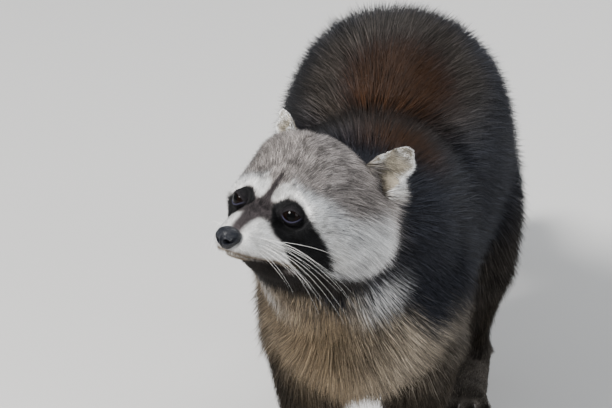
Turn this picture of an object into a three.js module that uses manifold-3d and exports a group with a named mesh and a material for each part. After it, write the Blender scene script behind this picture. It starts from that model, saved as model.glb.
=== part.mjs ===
// A standing raccoon, life size, in millimetres. It faces -Y, its left side is +X and its soles are on z = 0.
// The outlines are those of the full winter coat. Each named part of the body is one closed solid, and
// neighbouring parts meet across a thin gap.
import * as THREE from "three";
import { mergeVertices } from "three/addons/utils/BufferGeometryUtils.js";
import Module from "manifold-3d";

const wasm = await Module();
wasm.setup();

// ---------------------------------------------------------------- driving dimensions
const GAP = 0.35; // between neighbouring parts
const WITHERS = 296; // height of the coat over the shoulders
const BACK = 339; // height of the coat at the top of the arched back
const BELLY = 104; // height of the coat under the belly
const HALF_TRUNK = 98; // half the width of the coat at the haunches

const EYES = new THREE.Vector3(-48, -262, 284); // the point midway between the eyes
const HEAD_YAW = 27; // degrees, the head is turned to the animal's right
const HEAD_PITCH = 11; // degrees, muzzle up
const HEAD_ROLL = 3.5; // degrees, left ear down
const EYE_SPREAD = 22.3; // from the head's midline to the centre of an eye
const EYE_RADIUS = 7.6;
const EYE_BACK = 2; // an eye's centre behind the eyes' midpoint
const EAR_LENGTH = 55;
const EAR_HALF_WIDTH = 15;
const EAR_OUT = 3; // how far the leaf of an ear lies outwards of its root
const EAR_THICKNESS = 5;
const NOSE_TIP = 48.5; // from the eyes' midpoint forward to the tip of the nose

const FORE = { stance: 38, y: -112 }; // foreleg: from the midline to the paw, and the wrist's place
const HIND = { stance: 57, y: 142 }; // hind leg: the same, to the heel
const STEP = { foreLeft: 6, foreRight: -8, hindLeft: -6, hindRight: 8 }; // each foot's shift along Y
const TOE_RADIUS = 5.2;
const TOE_DROP = 4.7; // height of a toe's centre line: less than its radius, so that the sole is flat
const CLAW_LENGTH = 10;

const TAIL_RADIUS = 41;
const TAIL_LENGTHS = 3; // parts that the tail is divided into
const TAIL_ROOT = 0.1; // share of the tail's path that the trunk hides

// ---------------------------------------------------------------- materials
const paint = (name, color, roughness = 0.85) =>
  new THREE.MeshStandardMaterial({ name, color, roughness, metalness: 0 });
const GREY_COAT = paint("grey_coat", 0x6b625a);
const FACE_COAT = paint("face_coat", 0xb4aea6);
const BREAST_COAT = paint("breast_coat", 0x9c8465);
const PALE_EAR = paint("pale_ear", 0xd9d2c2);
const DARK_FOOT = paint("dark_foot", 0x5d544b);
const RINGED_TAIL = paint("ringed_tail", 0x7a6c5a);
const NOSE_LEATHER = paint("nose_leather", 0x1c1c20, 0.4);
const EYE_GLOSS = paint("eye_gloss", 0x120c08, 0.1);
const CLAW_HORN = paint("claw_horn", 0x2f2a26, 0.5);

// ---------------------------------------------------------------- shape helpers
const Z = new THREE.Vector3(0, 0, 1);
const FRONT = new THREE.Vector3(0, -1, 0);
const at = (x, y, z) => new THREE.Vector3(x, y, z);

// A closed surface over a row of rings with the same number of points, with a point at each end.
function overRings(rings, first, last) {
  const count = rings[0].length;
  const points = [first, ...rings.flat(), last];
  const index = [];
  for (let i = 0; i < count; i++) {
    const j = (i + 1) % count;
    index.push(0, 1 + j, 1 + i);
    for (let r = 0; r + 1 < rings.length; r++) {
      const a = 1 + r * count;
      index.push(a + i, a + j, a + count + j, a + i, a + count + j, a + count + i);
    }
    const end = 1 + (rings.length - 1) * count;
    index.push(points.length - 1, end + i, end + j);
  }
  return new THREE.BufferGeometry().setFromPoints(points).setIndex(index);
}

// A solid along a smooth path. A station has its centre (c), its half-width across (w) and its reach to either
// side of the centre along `above` (up and down). A dome of the given height closes each end, with a ring at
// each of the turns. A squareness of 2 makes an ellipse, and a larger one a boxier outline.
function loft({ stations, above = Z, sides, rings, domes, domeTurns = [60, 30], squareness = {} }, grow = 0) {
  const path = new THREE.CatmullRomCurve3(stations.map((s) => s.c), false, "catmullrom", 0.5);
  const size = new THREE.CatmullRomCurve3(
    stations.map((s) => at(s.w, s.up ?? s.w, s.down ?? s.up ?? s.w)),
    false,
    "catmullrom",
    0.5,
  );
  const ring = (t, shift, share) => {
    const along = path.getTangent(t);
    const up = above.clone().addScaledVector(along, -above.dot(along)).normalize();
    const side = new THREE.Vector3().crossVectors(up, along);
    const centre = path.getPoint(t).addScaledVector(along, shift);
    const s = size.getPoint(t).addScalar(grow).multiplyScalar(share);
    return Array.from({ length: sides }, (_, i) => {
      const turn = (2 * Math.PI * i) / sides;
      const upper = Math.sin(turn) > 0;
      const bend = 2 / ((upper ? squareness.up : squareness.down) ?? 2);
      const soft = (v) => Math.sign(v) * Math.abs(v) ** bend;
      return centre
        .clone()
        .addScaledVector(side, s.x * soft(Math.cos(turn)))
        .addScaledVector(up, soft(Math.sin(turn)) * (upper ? s.y : s.z));
    });
  };
  const dome = (t, height) =>
    domeTurns.map((a) => THREE.MathUtils.degToRad(a)).map((a) => ring(t, height * Math.sin(a), Math.cos(a)));
  const [start, end] = domes.map((h, i) => (i ? 1 : -1) * (h + grow));
  const body = Array.from({ length: rings + 1 }, (_, i) => ring(i / rings, 0, 1));
  const tip = (t, height) => path.getPoint(t).addScaledVector(path.getTangent(t), height);
  return overRings([...dome(0, start), ...body, ...dome(1, end).reverse()], tip(0, start), tip(1, end));
}

// A three.js geometry as a manifold-3d solid, with its faces turned outwards.
function solid(geometry, matrix) {
  const plain = geometry.clone();
  plain.deleteAttribute("normal");
  plain.deleteAttribute("uv");
  if (matrix) plain.applyMatrix4(matrix);
  const merged = mergeVertices(plain, 1e-4);
  const make = (triVerts) =>
    new wasm.Manifold(
      new wasm.Mesh({ numProp: 3, vertProperties: merged.attributes.position.array, triVerts }),
    );
  const triangles = new Uint32Array(merged.index.array);
  const made = make(triangles);
  if (made.volume() > 0) return made;
  for (let i = 0; i < triangles.length; i += 3)
    [triangles[i + 1], triangles[i + 2]] = [triangles[i + 2], triangles[i + 1]];
  return make(triangles);
}

const join = (solids) => solids.reduce((a, b) => a.add(b));

// The largest piece of a solid: a cut can leave crumbs beside it.
const largest = (made) => made.decompose().reduce((a, b) => (b.volume() > a.volume() ? b : a));

function geometryOf(made) {
  const data = made.getMesh();
  return new THREE.BufferGeometry()
    .setAttribute("position", new THREE.BufferAttribute(new Float32Array(data.vertProperties), 3))
    .setIndex(new THREE.BufferAttribute(new Uint32Array(data.triVerts), 1));
}

function mesh(name, made, material) {
  const geometry = geometryOf(largest(made));
  geometry.computeVertexNormals();
  const result = new THREE.Mesh(geometry, material);
  result.name = name;
  return result;
}

// The half-space on one side of a plane, as a large box.
function halfSpace(point, normal, shift = 0) {
  const big = 1200;
  const turn = new THREE.Quaternion().setFromUnitVectors(Z, normal.clone().normalize());
  const centre = point.clone().addScaledVector(normal.clone().normalize(), shift + big / 2);
  return solid(
    new THREE.BoxGeometry(big, big, big),
    new THREE.Matrix4().compose(centre, turn, at(1, 1, 1)),
  );
}

// Splits a solid by a plane into the side that the normal points to and the other one, a gap apart.
const split = (made, point, normal) => [
  made.intersect(halfSpace(point, normal, GAP / 2)),
  made.intersect(halfSpace(point, normal.clone().negate(), GAP / 2)),
];

const raccoon = new THREE.Group();
const floorUp = halfSpace(at(0, 0, 0), Z);

// ---------------------------------------------------------------- head
const headGroup = new THREE.Group();
headGroup.position.copy(EYES);
headGroup.rotation.order = "ZXY";
headGroup.rotation.set(
  THREE.MathUtils.degToRad(-HEAD_PITCH),
  THREE.MathUtils.degToRad(HEAD_ROLL),
  THREE.MathUtils.degToRad(-HEAD_YAW),
);
headGroup.updateMatrixWorld(true);

const skull = {
  stations: [
    { c: at(0, 96, -6), w: 50, up: 46, down: 36 },
    { c: at(0, 77, -11), w: 65, up: 62, down: 45 },
    { c: at(0, 57, -14), w: 73, up: 69, down: 50 },
    { c: at(0, 38, -16), w: 63, up: 70, down: 49 },
    { c: at(0, 22, -16), w: 50, up: 58, down: 44 },
    { c: at(0, 9, -15), w: 39, up: 42, down: 37 },
    { c: at(0, -1, -14), w: 30, up: 26, down: 30 },
  ],
  sides: 20,
  rings: 9,
  domes: [9, 6],
  squareness: { up: 2, down: 1.85 },
};
const muzzle = {
  stations: [
    { c: at(0, 12, -16), w: 33, up: 27, down: 29 },
    { c: at(0, -9, -18), w: 26, up: 20, down: 23 },
    { c: at(0, -24, -20), w: 22, up: 16, down: 19 },
    { c: at(0, -35, -21), w: 17.5, up: 12, down: 15 },
    { c: at(0, -42, -21), w: 12.5, up: 9, down: 11 },
  ],
  sides: 16,
  rings: 5,
  domes: [6, 3],
};
const nosePad = {
  stations: [
    { c: at(0, -35, -17), w: 8.5, up: 6, down: 7 },
    { c: at(0, -41, -17), w: 10, up: 7.5, down: 7.5 },
    { c: at(0, 3 - NOSE_TIP, -17.5), w: 8, up: 6, down: 6.5 },
  ],
  sides: 12,
  rings: 3,
  domes: [1, 3],
};

const eyeball = (side, grow = 0) =>
  solid(new THREE.SphereGeometry(EYE_RADIUS + grow, 12, 8).translate(side * EYE_SPREAD, EYE_BACK, 0));

const headWhole = (grow = 0) => join([solid(loft(skull, grow)), solid(loft(muzzle, grow))]);

// The lower jaw is cut off along the mouth, which rises gently to its corner.
const JAW_POINT = at(0, -27, -30);
const JAW_NORMAL = at(0, 0.1, -1);
const JAW_CORNER = -3; // how far back the mouth reaches
const jawSide = halfSpace(JAW_POINT, JAW_NORMAL).intersect(halfSpace(at(0, JAW_CORNER, 0), FRONT));
const jawCut = halfSpace(JAW_POINT, JAW_NORMAL, -GAP).intersect(halfSpace(at(0, JAW_CORNER, 0), FRONT, -GAP));

const head = headWhole()
  .subtract(jawCut)
  .subtract(solid(loft(nosePad, GAP)))
  .subtract(eyeball(1, GAP))
  .subtract(eyeball(-1, GAP));
headGroup.add(
  mesh("head", head, FACE_COAT),
  mesh("lower_jaw", headWhole().intersect(jawSide), FACE_COAT),
  mesh("nose", solid(loft(nosePad)), NOSE_LEATHER),
);

// An ear is a cupped leaf with a round tip: each ring runs along its hollow front and back along its rear.
function ear(side) {
  const root = at(side * 38, 58, 12);
  const rise = at(side * 22, 26, 42.5).normalize();
  const faces = at(side * 0.52, -0.85, 0); // where the hollow looks
  const open = faces.clone().addScaledVector(rise, -faces.dot(rise)).normalize();
  const across = new THREE.Vector3().crossVectors(rise, open);
  const arc = 6; // steps across the ear
  const steps = 6; // rings along it
  const widest = 0.5; // share of the length where the ear is widest
  const lastTurn = 80; // degrees round the tip's circle, of the last ring
  const middle = root.clone().addScaledVector(across, side * EAR_OUT);
  const onAxis = (s, lift) => middle.clone().addScaledVector(rise, EAR_LENGTH * s).addScaledVector(open, lift);
  const ring = (s) => {
    const away = s > widest ? (s - widest) / (1 - widest) : (0.6 * (widest - s)) / widest;
    const half = EAR_HALF_WIDTH * Math.sqrt(1 - away * away);
    const cup = 12 * (half / EAR_HALF_WIDTH) ** 2;
    const wall = EAR_THICKNESS * (1 - 0.3 * s);
    const point = (v, depth) =>
      onAxis(s, cup * (v * v - 1) - depth * (1 - v ** 4)).addScaledVector(across, half * Math.sin((v * Math.PI) / 2));
    const front = Array.from({ length: arc + 1 }, (_, i) => point(-1 + (2 * i) / arc, 0));
    const rear = Array.from({ length: arc - 1 }, (_, i) => point(1 - (2 * (i + 1)) / arc, wall));
    return [...front, ...rear];
  };
  const levels = Array.from({ length: steps }, (_, i) =>
    Math.sin(THREE.MathUtils.degToRad((lastTurn * i) / (steps - 1))),
  );
  return overRings(levels.map(ring), onAxis(0, -12), onAxis(1, -EAR_THICKNESS / 3));
}

const neckShape = {
  stations: [
    { c: at(0, -112, 212), w: 80, up: 77, down: 88 },
    { c: at(-8, -140, 220), w: 77, up: 72, down: 86 },
    { c: at(-19, -168, 234), w: 71, up: 64, down: 80 },
    { c: at(-31, -196, 248), w: 65, up: 56, down: 68 },
    { c: at(-38, -220, 260), w: 54, up: 46, down: 54 },
  ],
  sides: 14,
  rings: 5,
  domes: [10, 10],
  domeTurns: [45],
};

const headGrown = headWhole(GAP);
const neckFromHead = solid(loft(neckShape, GAP), headGroup.matrixWorld.clone().invert());
for (const [side, name] of [[1, "left"], [-1, "right"]]) {
  headGroup.add(
    mesh("ear_" + name, solid(ear(side)).subtract(headGrown).subtract(neckFromHead), PALE_EAR),
    mesh("eye_" + name, eyeball(side), EYE_GLOSS),
  );
}
raccoon.add(headGroup);

// ---------------------------------------------------------------- trunk
const across = (y, top, bottom, half, level = 0.5) => ({
  c: at(0, y, bottom + (top - bottom) * level),
  w: half,
  up: (top - bottom) * (1 - level),
  down: (top - bottom) * level,
});
const trunkShape = {
  stations: [
    across(-176, WITHERS - 50, BELLY + 14, 56),
    across(-148, WITHERS - 16, BELLY - 12, 74, 0.45),
    across(-108, WITHERS + 2, BELLY - 18, 84, 0.42),
    across(-62, WITHERS - 2, BELLY - 8, 87, 0.42),
    across(-10, WITHERS + 16, BELLY - 2, 90, 0.42),
    across(45, BACK - 6, BELLY, HALF_TRUNK - 1, 0.42),
    across(95, BACK, BELLY + 6, HALF_TRUNK, 0.42),
    across(140, BACK - 16, BELLY + 22, HALF_TRUNK - 7, 0.44),
    across(178, BACK - 54, BELLY + 52, HALF_TRUNK - 28, 0.46),
  ],
  sides: 18,
  rings: 11,
  domes: [20, 26],
  squareness: { up: 2.2, down: 2 },
};
// ---------------------------------------------------------------- tail
const tailShape = {
  stations: [
    { c: at(0, 168, 246), w: 30 },
    { c: at(0, 205, 216), w: 34 },
    { c: at(2, 246, 172), w: TAIL_RADIUS - 2 },
    { c: at(6, 292, 128), w: TAIL_RADIUS },
    { c: at(12, 340, 98), w: TAIL_RADIUS - 1 },
    { c: at(18, 384, 84), w: TAIL_RADIUS - 6 },
    { c: at(22, 418, 80), w: TAIL_RADIUS - 17 },
  ],
  sides: 12,
  rings: 9,
  domes: [8, 22],
};

// ---------------------------------------------------------------- legs
const foreleg = (side, step) => {
  const x = FORE.stance;
  return {
    stations: [
      { c: at(side * (x + 2), -106, 214), w: 34, up: 42, down: 48 },
      { c: at(side * (x + 13), -104 + step * 0.2, 176), w: 38, up: 43, down: 50 },
      { c: at(side * (x + 10), -97 + step * 0.5, 134), w: 35, up: 37, down: 42 },
      { c: at(side * (x + 4), -98 + step * 0.8, 96), w: 33, up: 30, down: 31 },
      { c: at(side * (x + 1), FORE.y + 8 + step, 66), w: 28, up: 25, down: 26 },
      { c: at(side * x, FORE.y + step, 38), w: 21, up: 19, down: 19 },
      { c: at(side * x, FORE.y + step, 18), w: 18, up: 17, down: 15 },
    ],
    above: FRONT,
    sides: 12,
    rings: 7,
    domes: [18, 8],
    domeTurns: [45],
  };
};
const hindLeg = (side, step) => {
  const x = HIND.stance;
  return {
    stations: [
      { c: at(side * (x - 12), 108, 236), w: 34, up: 46, down: 46 },
      { c: at(side * (x + 3), 102, 192), w: 41, up: 58, down: 58 },
      { c: at(side * (x + 9), 92 + step * 0.4, 144), w: 39, up: 52, down: 56 },
      { c: at(side * (x + 7), 98 + step * 0.8, 104), w: 30, up: 36, down: 38 },
      { c: at(side * (x + 3), 116 + step, 72), w: 23, up: 24, down: 26 },
      { c: at(side * x, HIND.y - 10 + step, 44), w: 19, up: 19, down: 19 },
      { c: at(side * x, HIND.y - 8 + step, 20), w: 17, up: 17, down: 17 },
    ],
    above: FRONT,
    sides: 12,
    rings: 7,
    domes: [18, 8],
    domeTurns: [45],
  };
};

// A foot: the sole, then five toes that fan out from its front edge. Returns the foot and its claws.
function foot({ heel, length, heelHalf, ballHalf, toe, fan }) {
  const front = heel.clone().addScaledVector(FRONT, length);
  const sole = loft({
    stations: [
      { c: heel.clone().setZ(13), w: heelHalf, up: 15, down: 14 },
      { c: heel.clone().lerp(front, 0.5).setZ(12), w: (heelHalf + ballHalf) / 2, up: 13, down: 13 },
      { c: front.clone().setZ(9.5), w: ballHalf, up: 9, down: 10.5 },
    ],
    sides: 8,
    rings: 2,
    domes: [9, 7],
    domeTurns: [50],
  });
  const toes = [-2, -1, 0, 1, 2].map((n) => {
    const angle = THREE.MathUtils.degToRad(n * fan);
    const reach = toe * (1 - 0.055 * n * n);
    const way = at(Math.sin(angle), -Math.cos(angle), 0);
    const from = front.clone().add(at(n * ballHalf * 0.36, 2, 0)).setZ(TOE_DROP + 1.5);
    const tip = from.clone().addScaledVector(way, reach).setZ(TOE_DROP);
    const middle = from.clone().lerp(tip, 0.5).setZ(TOE_DROP + 1.6);
    return { from, middle, tip, way };
  });
  const toeShape = ({ from, middle, tip }, grow = 0) =>
    loft(
      {
        stations: [
          { c: from, w: TOE_RADIUS },
          { c: middle, w: TOE_RADIUS * 0.96 },
          { c: tip, w: TOE_RADIUS * 0.92 },
        ],
        sides: 5,
        rings: 1,
        domes: [2, 4],
        domeTurns: [45],
      },
      grow,
    );
  const claws = toes.map(({ tip, way }) => {
    const point = (along, z) => tip.clone().addScaledVector(way, along).setZ(z);
    return loft({
      stations: [
        { c: point(0, TOE_DROP + 2), w: 2, up: 2.4 },
        { c: point(CLAW_LENGTH, TOE_DROP - 0.6), w: 0.7, up: 0.8 },
      ],
      sides: 4,
      rings: 1,
      domes: [1, 1.4],
      domeTurns: [],
    });
  });
  return {
    whole: (grow = 0) => join([solid(sole), ...toes.map((t) => solid(toeShape(t, grow)))]).intersect(floorUp),
    claws: claws.map((c) => solid(c)),
  };
}

const legs = [];
for (const [side, name] of [[1, "left"], [-1, "right"]]) {
  const capital = name === "left" ? "Left" : "Right";
  legs.push({
    side,
    name: "foreleg_" + name,
    parts: ["upper_arm_" + name, "forearm_" + name, "forefoot_" + name],
    shape: foreleg(side, STEP["fore" + capital]),
    joint: { y: -97, z: 124, tilt: 0.25 },
    cuff: 30,
    foot: {
      heel: at(side * FORE.stance, FORE.y + 4 + STEP["fore" + capital], 0),
      length: 34,
      heelHalf: 16,
      ballHalf: 20,
      toe: 25,
      fan: 15,
    },
  });
  legs.push({
    side,
    name: "hind_leg_" + name,
    parts: ["thigh_" + name, "shank_" + name, "hind_foot_" + name],
    shape: hindLeg(side, STEP["hind" + capital]),
    joint: { y: 92, z: 118, tilt: -0.35 },
    cuff: 32,
    foot: {
      heel: at(side * HIND.stance, HIND.y + STEP["hind" + capital], 0),
      length: 66,
      heelHalf: 15,
      ballHalf: 21,
      toe: 25,
      fan: 11,
    },
  });
}

// ---------------------------------------------------------------- parting the body
const headInPlace = solid(geometryOf(headGrown), headGroup.matrixWorld);
const legsGrown = legs.map((leg) => solid(loft(leg.shape, GAP)));
const without = (made, cutters) => cutters.reduce((a, b) => a.subtract(b), made);
const trunk = without(solid(loft(trunkShape)), [headInPlace, ...legsGrown, solid(loft(tailShape, GAP))]);
const neck = without(solid(loft(neckShape)), [headInPlace, ...legsGrown, solid(loft(trunkShape, GAP))]);
raccoon.add(mesh("trunk", trunk, GREY_COAT), mesh("neck", neck, BREAST_COAT));

const tailPath = new THREE.CatmullRomCurve3(tailShape.stations.map((s) => s.c), false, "catmullrom", 0.5);
let tailRest = solid(loft(tailShape));
for (let i = 1; i <= TAIL_LENGTHS; i++) {
  const t = TAIL_ROOT + ((1 - TAIL_ROOT) * i) / TAIL_LENGTHS;
  const [beyond, here] =
    i < TAIL_LENGTHS ? split(tailRest, tailPath.getPoint(t), tailPath.getTangent(t)) : [null, tailRest];
  raccoon.add(mesh("tail_" + i, here, RINGED_TAIL));
  tailRest = beyond;
}

for (const leg of legs) {
  const limb = solid(loft(leg.shape)).intersect(floorUp);
  const made = foot(leg.foot);
  const bend = at(0, leg.joint.y, leg.joint.z);
  const [upper, below] = split(limb, bend, at(0, leg.joint.tilt, 1));
  const [lower, ankle] = split(below, at(0, 0, leg.cuff), Z);
  const footWhole = join([made.whole().intersect(halfSpace(at(0, 0, leg.cuff), at(0, 0, -1), GAP / 2)), ankle]);
  raccoon.add(
    mesh(leg.parts[0], upper, GREY_COAT),
    mesh(leg.parts[1], lower, GREY_COAT),
    mesh(leg.parts[2], footWhole, DARK_FOOT),
  );
  made.claws.forEach((claw, i) => {
    const stub = claw.subtract(made.whole(GAP));
    raccoon.add(mesh(leg.parts[2] + "_claw_" + (i + 1), stub, CLAW_HORN));
  });
}

// The origin is on the floor, under the middle of the animal's box.
const box = new THREE.Box3().setFromObject(raccoon, true);
const middle = box.getCenter(new THREE.Vector3());
raccoon.position.set(-middle.x, -middle.y, 0);

export default raccoon;
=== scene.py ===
import math

import bmesh
import bpy
import numpy as np
from bpy.props import FloatProperty, FloatVectorProperty, IntProperty, PointerProperty
from mathutils import Matrix, Vector
from mathutils.bvhtree import BVHTree
from mathutils.kdtree import KDTree


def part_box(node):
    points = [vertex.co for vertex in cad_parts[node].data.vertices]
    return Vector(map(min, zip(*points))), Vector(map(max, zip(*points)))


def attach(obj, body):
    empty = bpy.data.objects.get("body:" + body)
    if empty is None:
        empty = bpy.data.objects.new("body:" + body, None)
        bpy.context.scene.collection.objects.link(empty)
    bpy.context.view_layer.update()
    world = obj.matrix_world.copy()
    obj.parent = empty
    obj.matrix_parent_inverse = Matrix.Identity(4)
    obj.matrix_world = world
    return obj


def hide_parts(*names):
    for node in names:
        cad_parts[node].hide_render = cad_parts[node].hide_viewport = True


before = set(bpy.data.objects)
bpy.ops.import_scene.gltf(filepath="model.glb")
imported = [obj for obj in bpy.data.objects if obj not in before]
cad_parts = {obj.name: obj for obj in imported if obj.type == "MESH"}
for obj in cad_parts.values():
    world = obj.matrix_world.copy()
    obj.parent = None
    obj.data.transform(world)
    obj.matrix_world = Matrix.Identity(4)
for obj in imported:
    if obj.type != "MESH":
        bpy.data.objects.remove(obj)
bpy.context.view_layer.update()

bl_info = {
    "name": "Raccoon in its winter coat",
    "version": (1, 0, 0),
    "blender": (4, 5, 0),
    "location": "3D View > Sidebar > Raccoon",
    "description": "Skin, coat, eyes, nose, whiskers and claws of a life-size raccoon",
    "category": "Object",
}

MM = 0.001
SEED = 7
BODY = "root"

# ---------------------------------------------------------------- the animal's own axes
# The head's axes: x to the animal's left, y backwards and z up, in millimetres from between the eyes.
HEAD_YAW, HEAD_PITCH, HEAD_ROLL = 27.0, 11.0, 3.5
EYE_BACK = 2.0  # the eyes' centres lie this far behind the head's origin
EYE_RADIUS = 7.6
EYE_GAZE = (0.42, -0.9, 0.06)  # the left eye's axis, on the head's axes
NOSE_CENTRE = (0.0, -41.2, -18.0)
MUZZLE_START = (0.0, -47.0, -13.0)  # the face's hair grows away from this point
EAR_ROOT = (38.0, 58.0, 12.0)
EAR_RISE = (22.0, 26.0, 42.5)
EAR_FACES = (0.52, -0.85, 0.0)  # where an ear's hollow looks
EAR_LENGTH = 55.0
EAR_HALF_WIDTH = 15.0
EAR_OUT = 3.0  # how far the leaf of an ear lies outwards of its root
EAR_CUP = 12.0  # depth of an ear's hollow


def centre_of(node):
    low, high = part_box(node)
    return (np.array(low) + np.array(high)) / 2


def unit(v):
    v = np.asarray(v, float)
    return v / np.maximum(np.linalg.norm(v, axis=-1, keepdims=True), 1e-12)


def turned(degrees, axis):
    return np.array(Matrix.Rotation(math.radians(degrees), 3, axis))


HEAD_AXES = turned(-HEAD_YAW, "Z") @ turned(-HEAD_PITCH, "X") @ turned(HEAD_ROLL, "Y")
HEAD_ORIGIN = (centre_of("eye_left") + centre_of("eye_right")) / 2 - HEAD_AXES @ (0, EYE_BACK * MM, 0)
HEAD_Y_UNCENTRED = -262.0  # the head origin's Y before the animal's box was centred, as TAIL_PATH is written


def to_head(points):
    return (points - HEAD_ORIGIN) @ HEAD_AXES / MM


def from_head(local):
    return np.asarray(local, float) * MM @ HEAD_AXES.T + HEAD_ORIGIN


# The middle of the tail, from its root to its tip, in millimetres, moved along Y as the whole animal was.
TAIL_PATH = np.array(
    [
        (0, 168, 246),
        (0, 205, 216),
        (2, 246, 172),
        (6, 292, 128),
        (12, 340, 98),
        (18, 384, 84),
        (22, 440, 78),
    ],
    float,
) + (0, HEAD_ORIGIN[1] / MM - HEAD_Y_UNCENTRED, 0)


def smoothstep(x, low, high):
    t = np.clip((x - low) / (high - low), 0, 1)
    return t * t * (3 - 2 * t)


def bell(x, middle, width):
    return np.exp(-(((x - middle) / width) ** 2))


def mix(a, b, share):
    return a + (b - a) * share


def mixed(a, b, share):
    """Mixes rows of colours by a share for each row."""
    return a + (np.asarray(b) - a) * share[:, None]


def mirrored(side):
    """Signs that turn the left side's x round where side is -1, as a row for each place."""
    return side.reshape(-1, 1) * (1, 0, 0) + (0, 1, 1)


def round_turn(count):
    """Evenly spaced angles once round."""
    return np.arange(count) / count * 2 * np.pi


# ---------------------------------------------------------------- settings
def length(name, description, default):
    return FloatProperty(name=name, description=description, default=default, unit="LENGTH", precision=4)


def colour(name, description, default):
    return FloatVectorProperty(
        name=name, description=description, default=default, subtype="COLOR", size=3, min=0, max=1
    )


class SkinSizes(bpy.types.PropertyGroup):
    grain: length("Grain", "Size of the faces that the skin is first made of", 0.0021)
    kept: FloatProperty(
        name="Kept", description="Share of those faces that is kept", default=0.36, min=0, max=1
    )
    closing: length("Closing", "How far the named parts swell to close the cuts between them", 0.0006)
    ear_wall: length("Ears' wall", "How thick the leaf of an ear is", 0.0042)


class CoatSizes(bpy.types.PropertyGroup):
    fineness: FloatProperty(
        name="Fineness", description="Multiplies the number of tufts", default=1.0, min=0.1, max=2.0
    )
    clump: FloatProperty(
        name="Clumping", description="How far tufts lean together", default=0.38, min=0, max=1
    )
    seed: IntProperty(name="Seed", description="Starts the random draws", default=SEED)


class CoatColours(bpy.types.PropertyGroup):
    # the flanks' grey-black hair, with painted shade: darkened and tinted blue as if lying in skylit shade
    flank_root: colour("Flank root", "Underfur of the flanks", (0.0036, 0.0036, 0.0048))
    shaded_flank_tip: colour("Flank tip", "Guard hair of the flanks", (0.014, 0.016, 0.0237))
    ridge_root: colour("Ridge root", "Underfur of the back", (0.006, 0.0028, 0.0015))
    ridge_tip: colour("Ridge tip", "Guard hair of the back", (0.047, 0.0195, 0.0075))
    grizzle_tip: colour("Grizzle tip", "Guard hair round the back's brown", (0.0343, 0.0276, 0.0229))
    breast_root: colour("Breast root", "Underfur of the breast", (0.034, 0.021, 0.012))
    breast_tip: colour("Breast tip", "Guard hair of the breast", (0.33, 0.25, 0.16))
    breast_grey: colour("Breast side", "Guard hair of the breast's left side", (0.37, 0.345, 0.305))
    leg_root: colour("Leg root", "Underfur of the legs", (0.0108, 0.0084, 0.0066))
    leg_tip: colour("Leg tip", "Hair of the legs", (0.0508, 0.0415, 0.0316))
    foot_tip: colour("Foot tip", "Hair of the feet", (0.085, 0.072, 0.06))
    crown_root: colour("Crown root", "Underfur of the crown", (0.022, 0.0182, 0.0165))
    crown_tip: colour("Crown tip", "Hair of the crown", (0.337, 0.304, 0.288))
    cheek_root: colour("Cheek root", "Underfur of the cheeks", (0.0713, 0.0694, 0.0732))
    cheek_tip: colour("Cheek tip", "Hair of the cheeks", (0.92, 0.92, 0.93))
    white_root: colour("White root", "Underfur of the white markings", (0.34, 0.33, 0.325))
    lip: colour("Lip", "Fringe of the lips", (0.144, 0.109, 0.072))
    chin: colour("Chin", "Hair of the chin", (0.210, 0.164, 0.115))
    # painted shade: near-black hair under the jaw and on the throat, where the head shades them
    shaded_throat: colour("Throat", "Hair under the jaw", (0.0128, 0.00975, 0.00825))
    white: colour("White", "Brows, muzzle and the rims of the ears", (0.90, 0.885, 0.86))
    mask: colour("Mask", "Hair of the face mask", (0.009, 0.009, 0.00975))
    bridge: colour("Bridge", "Hair down the middle of the muzzle", (0.0462, 0.0383, 0.0396))
    ear: colour("Ear", "Hair inside the ears", (0.446, 0.392, 0.304))
    ring_pale: colour("Pale ring", "Pale rings of the tail", (0.182, 0.133, 0.0805))
    ring_dark: colour("Dark ring", "Dark rings of the tail", (0.012, 0.009, 0.008))


class FaceColours(bpy.types.PropertyGroup):
    iris: colour("Iris", "Brown round the pupil", (0.0042, 0.0021, 0.0014))
    lid: colour("Eyelid", "Bare rim of the lower lids", (0.020, 0.019, 0.034))
    lash: colour("Upper lid", "Bare rim of the upper lids", (0.007, 0.006, 0.007))
    nose: colour("Nose", "Leather of the nose", (0.0045, 0.005, 0.0068))
    claw: colour("Claw", "Horn of the claws", (0.045, 0.036, 0.030))
    whisker: colour("Whisker", "Long hairs of the muzzle", (0.92, 0.91, 0.88))


class RaccoonSettings(bpy.types.PropertyGroup):
    skin: PointerProperty(type=SkinSizes)
    coat: PointerProperty(type=CoatSizes)
    colours: PointerProperty(type=CoatColours)
    face: PointerProperty(type=FaceColours)


def settings():
    return bpy.context.scene.raccoon


def tone(name):
    return np.array(getattr(settings().colours, name))


# ---------------------------------------------------------------- shaders
class Value:
    """A shader socket that can be used in sums and products."""

    def __init__(self, shader, socket):
        self.shader, self.socket = shader, socket

    def math(self, operation, *others):
        node = self.shader.node("Math", {"operation": operation}, [self, *others])
        return Value(self.shader, node.outputs[0])

    def __add__(self, other):
        return self.math("ADD", other)

    def __mul__(self, other):
        return self.math("MULTIPLY", other)

    __radd__ = __add__
    __rmul__ = __mul__


# The places of a colour Mix node's sockets.
MIX_SHARE, MIX_A, MIX_B, MIX_RESULT = 0, 6, 7, 2


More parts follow.
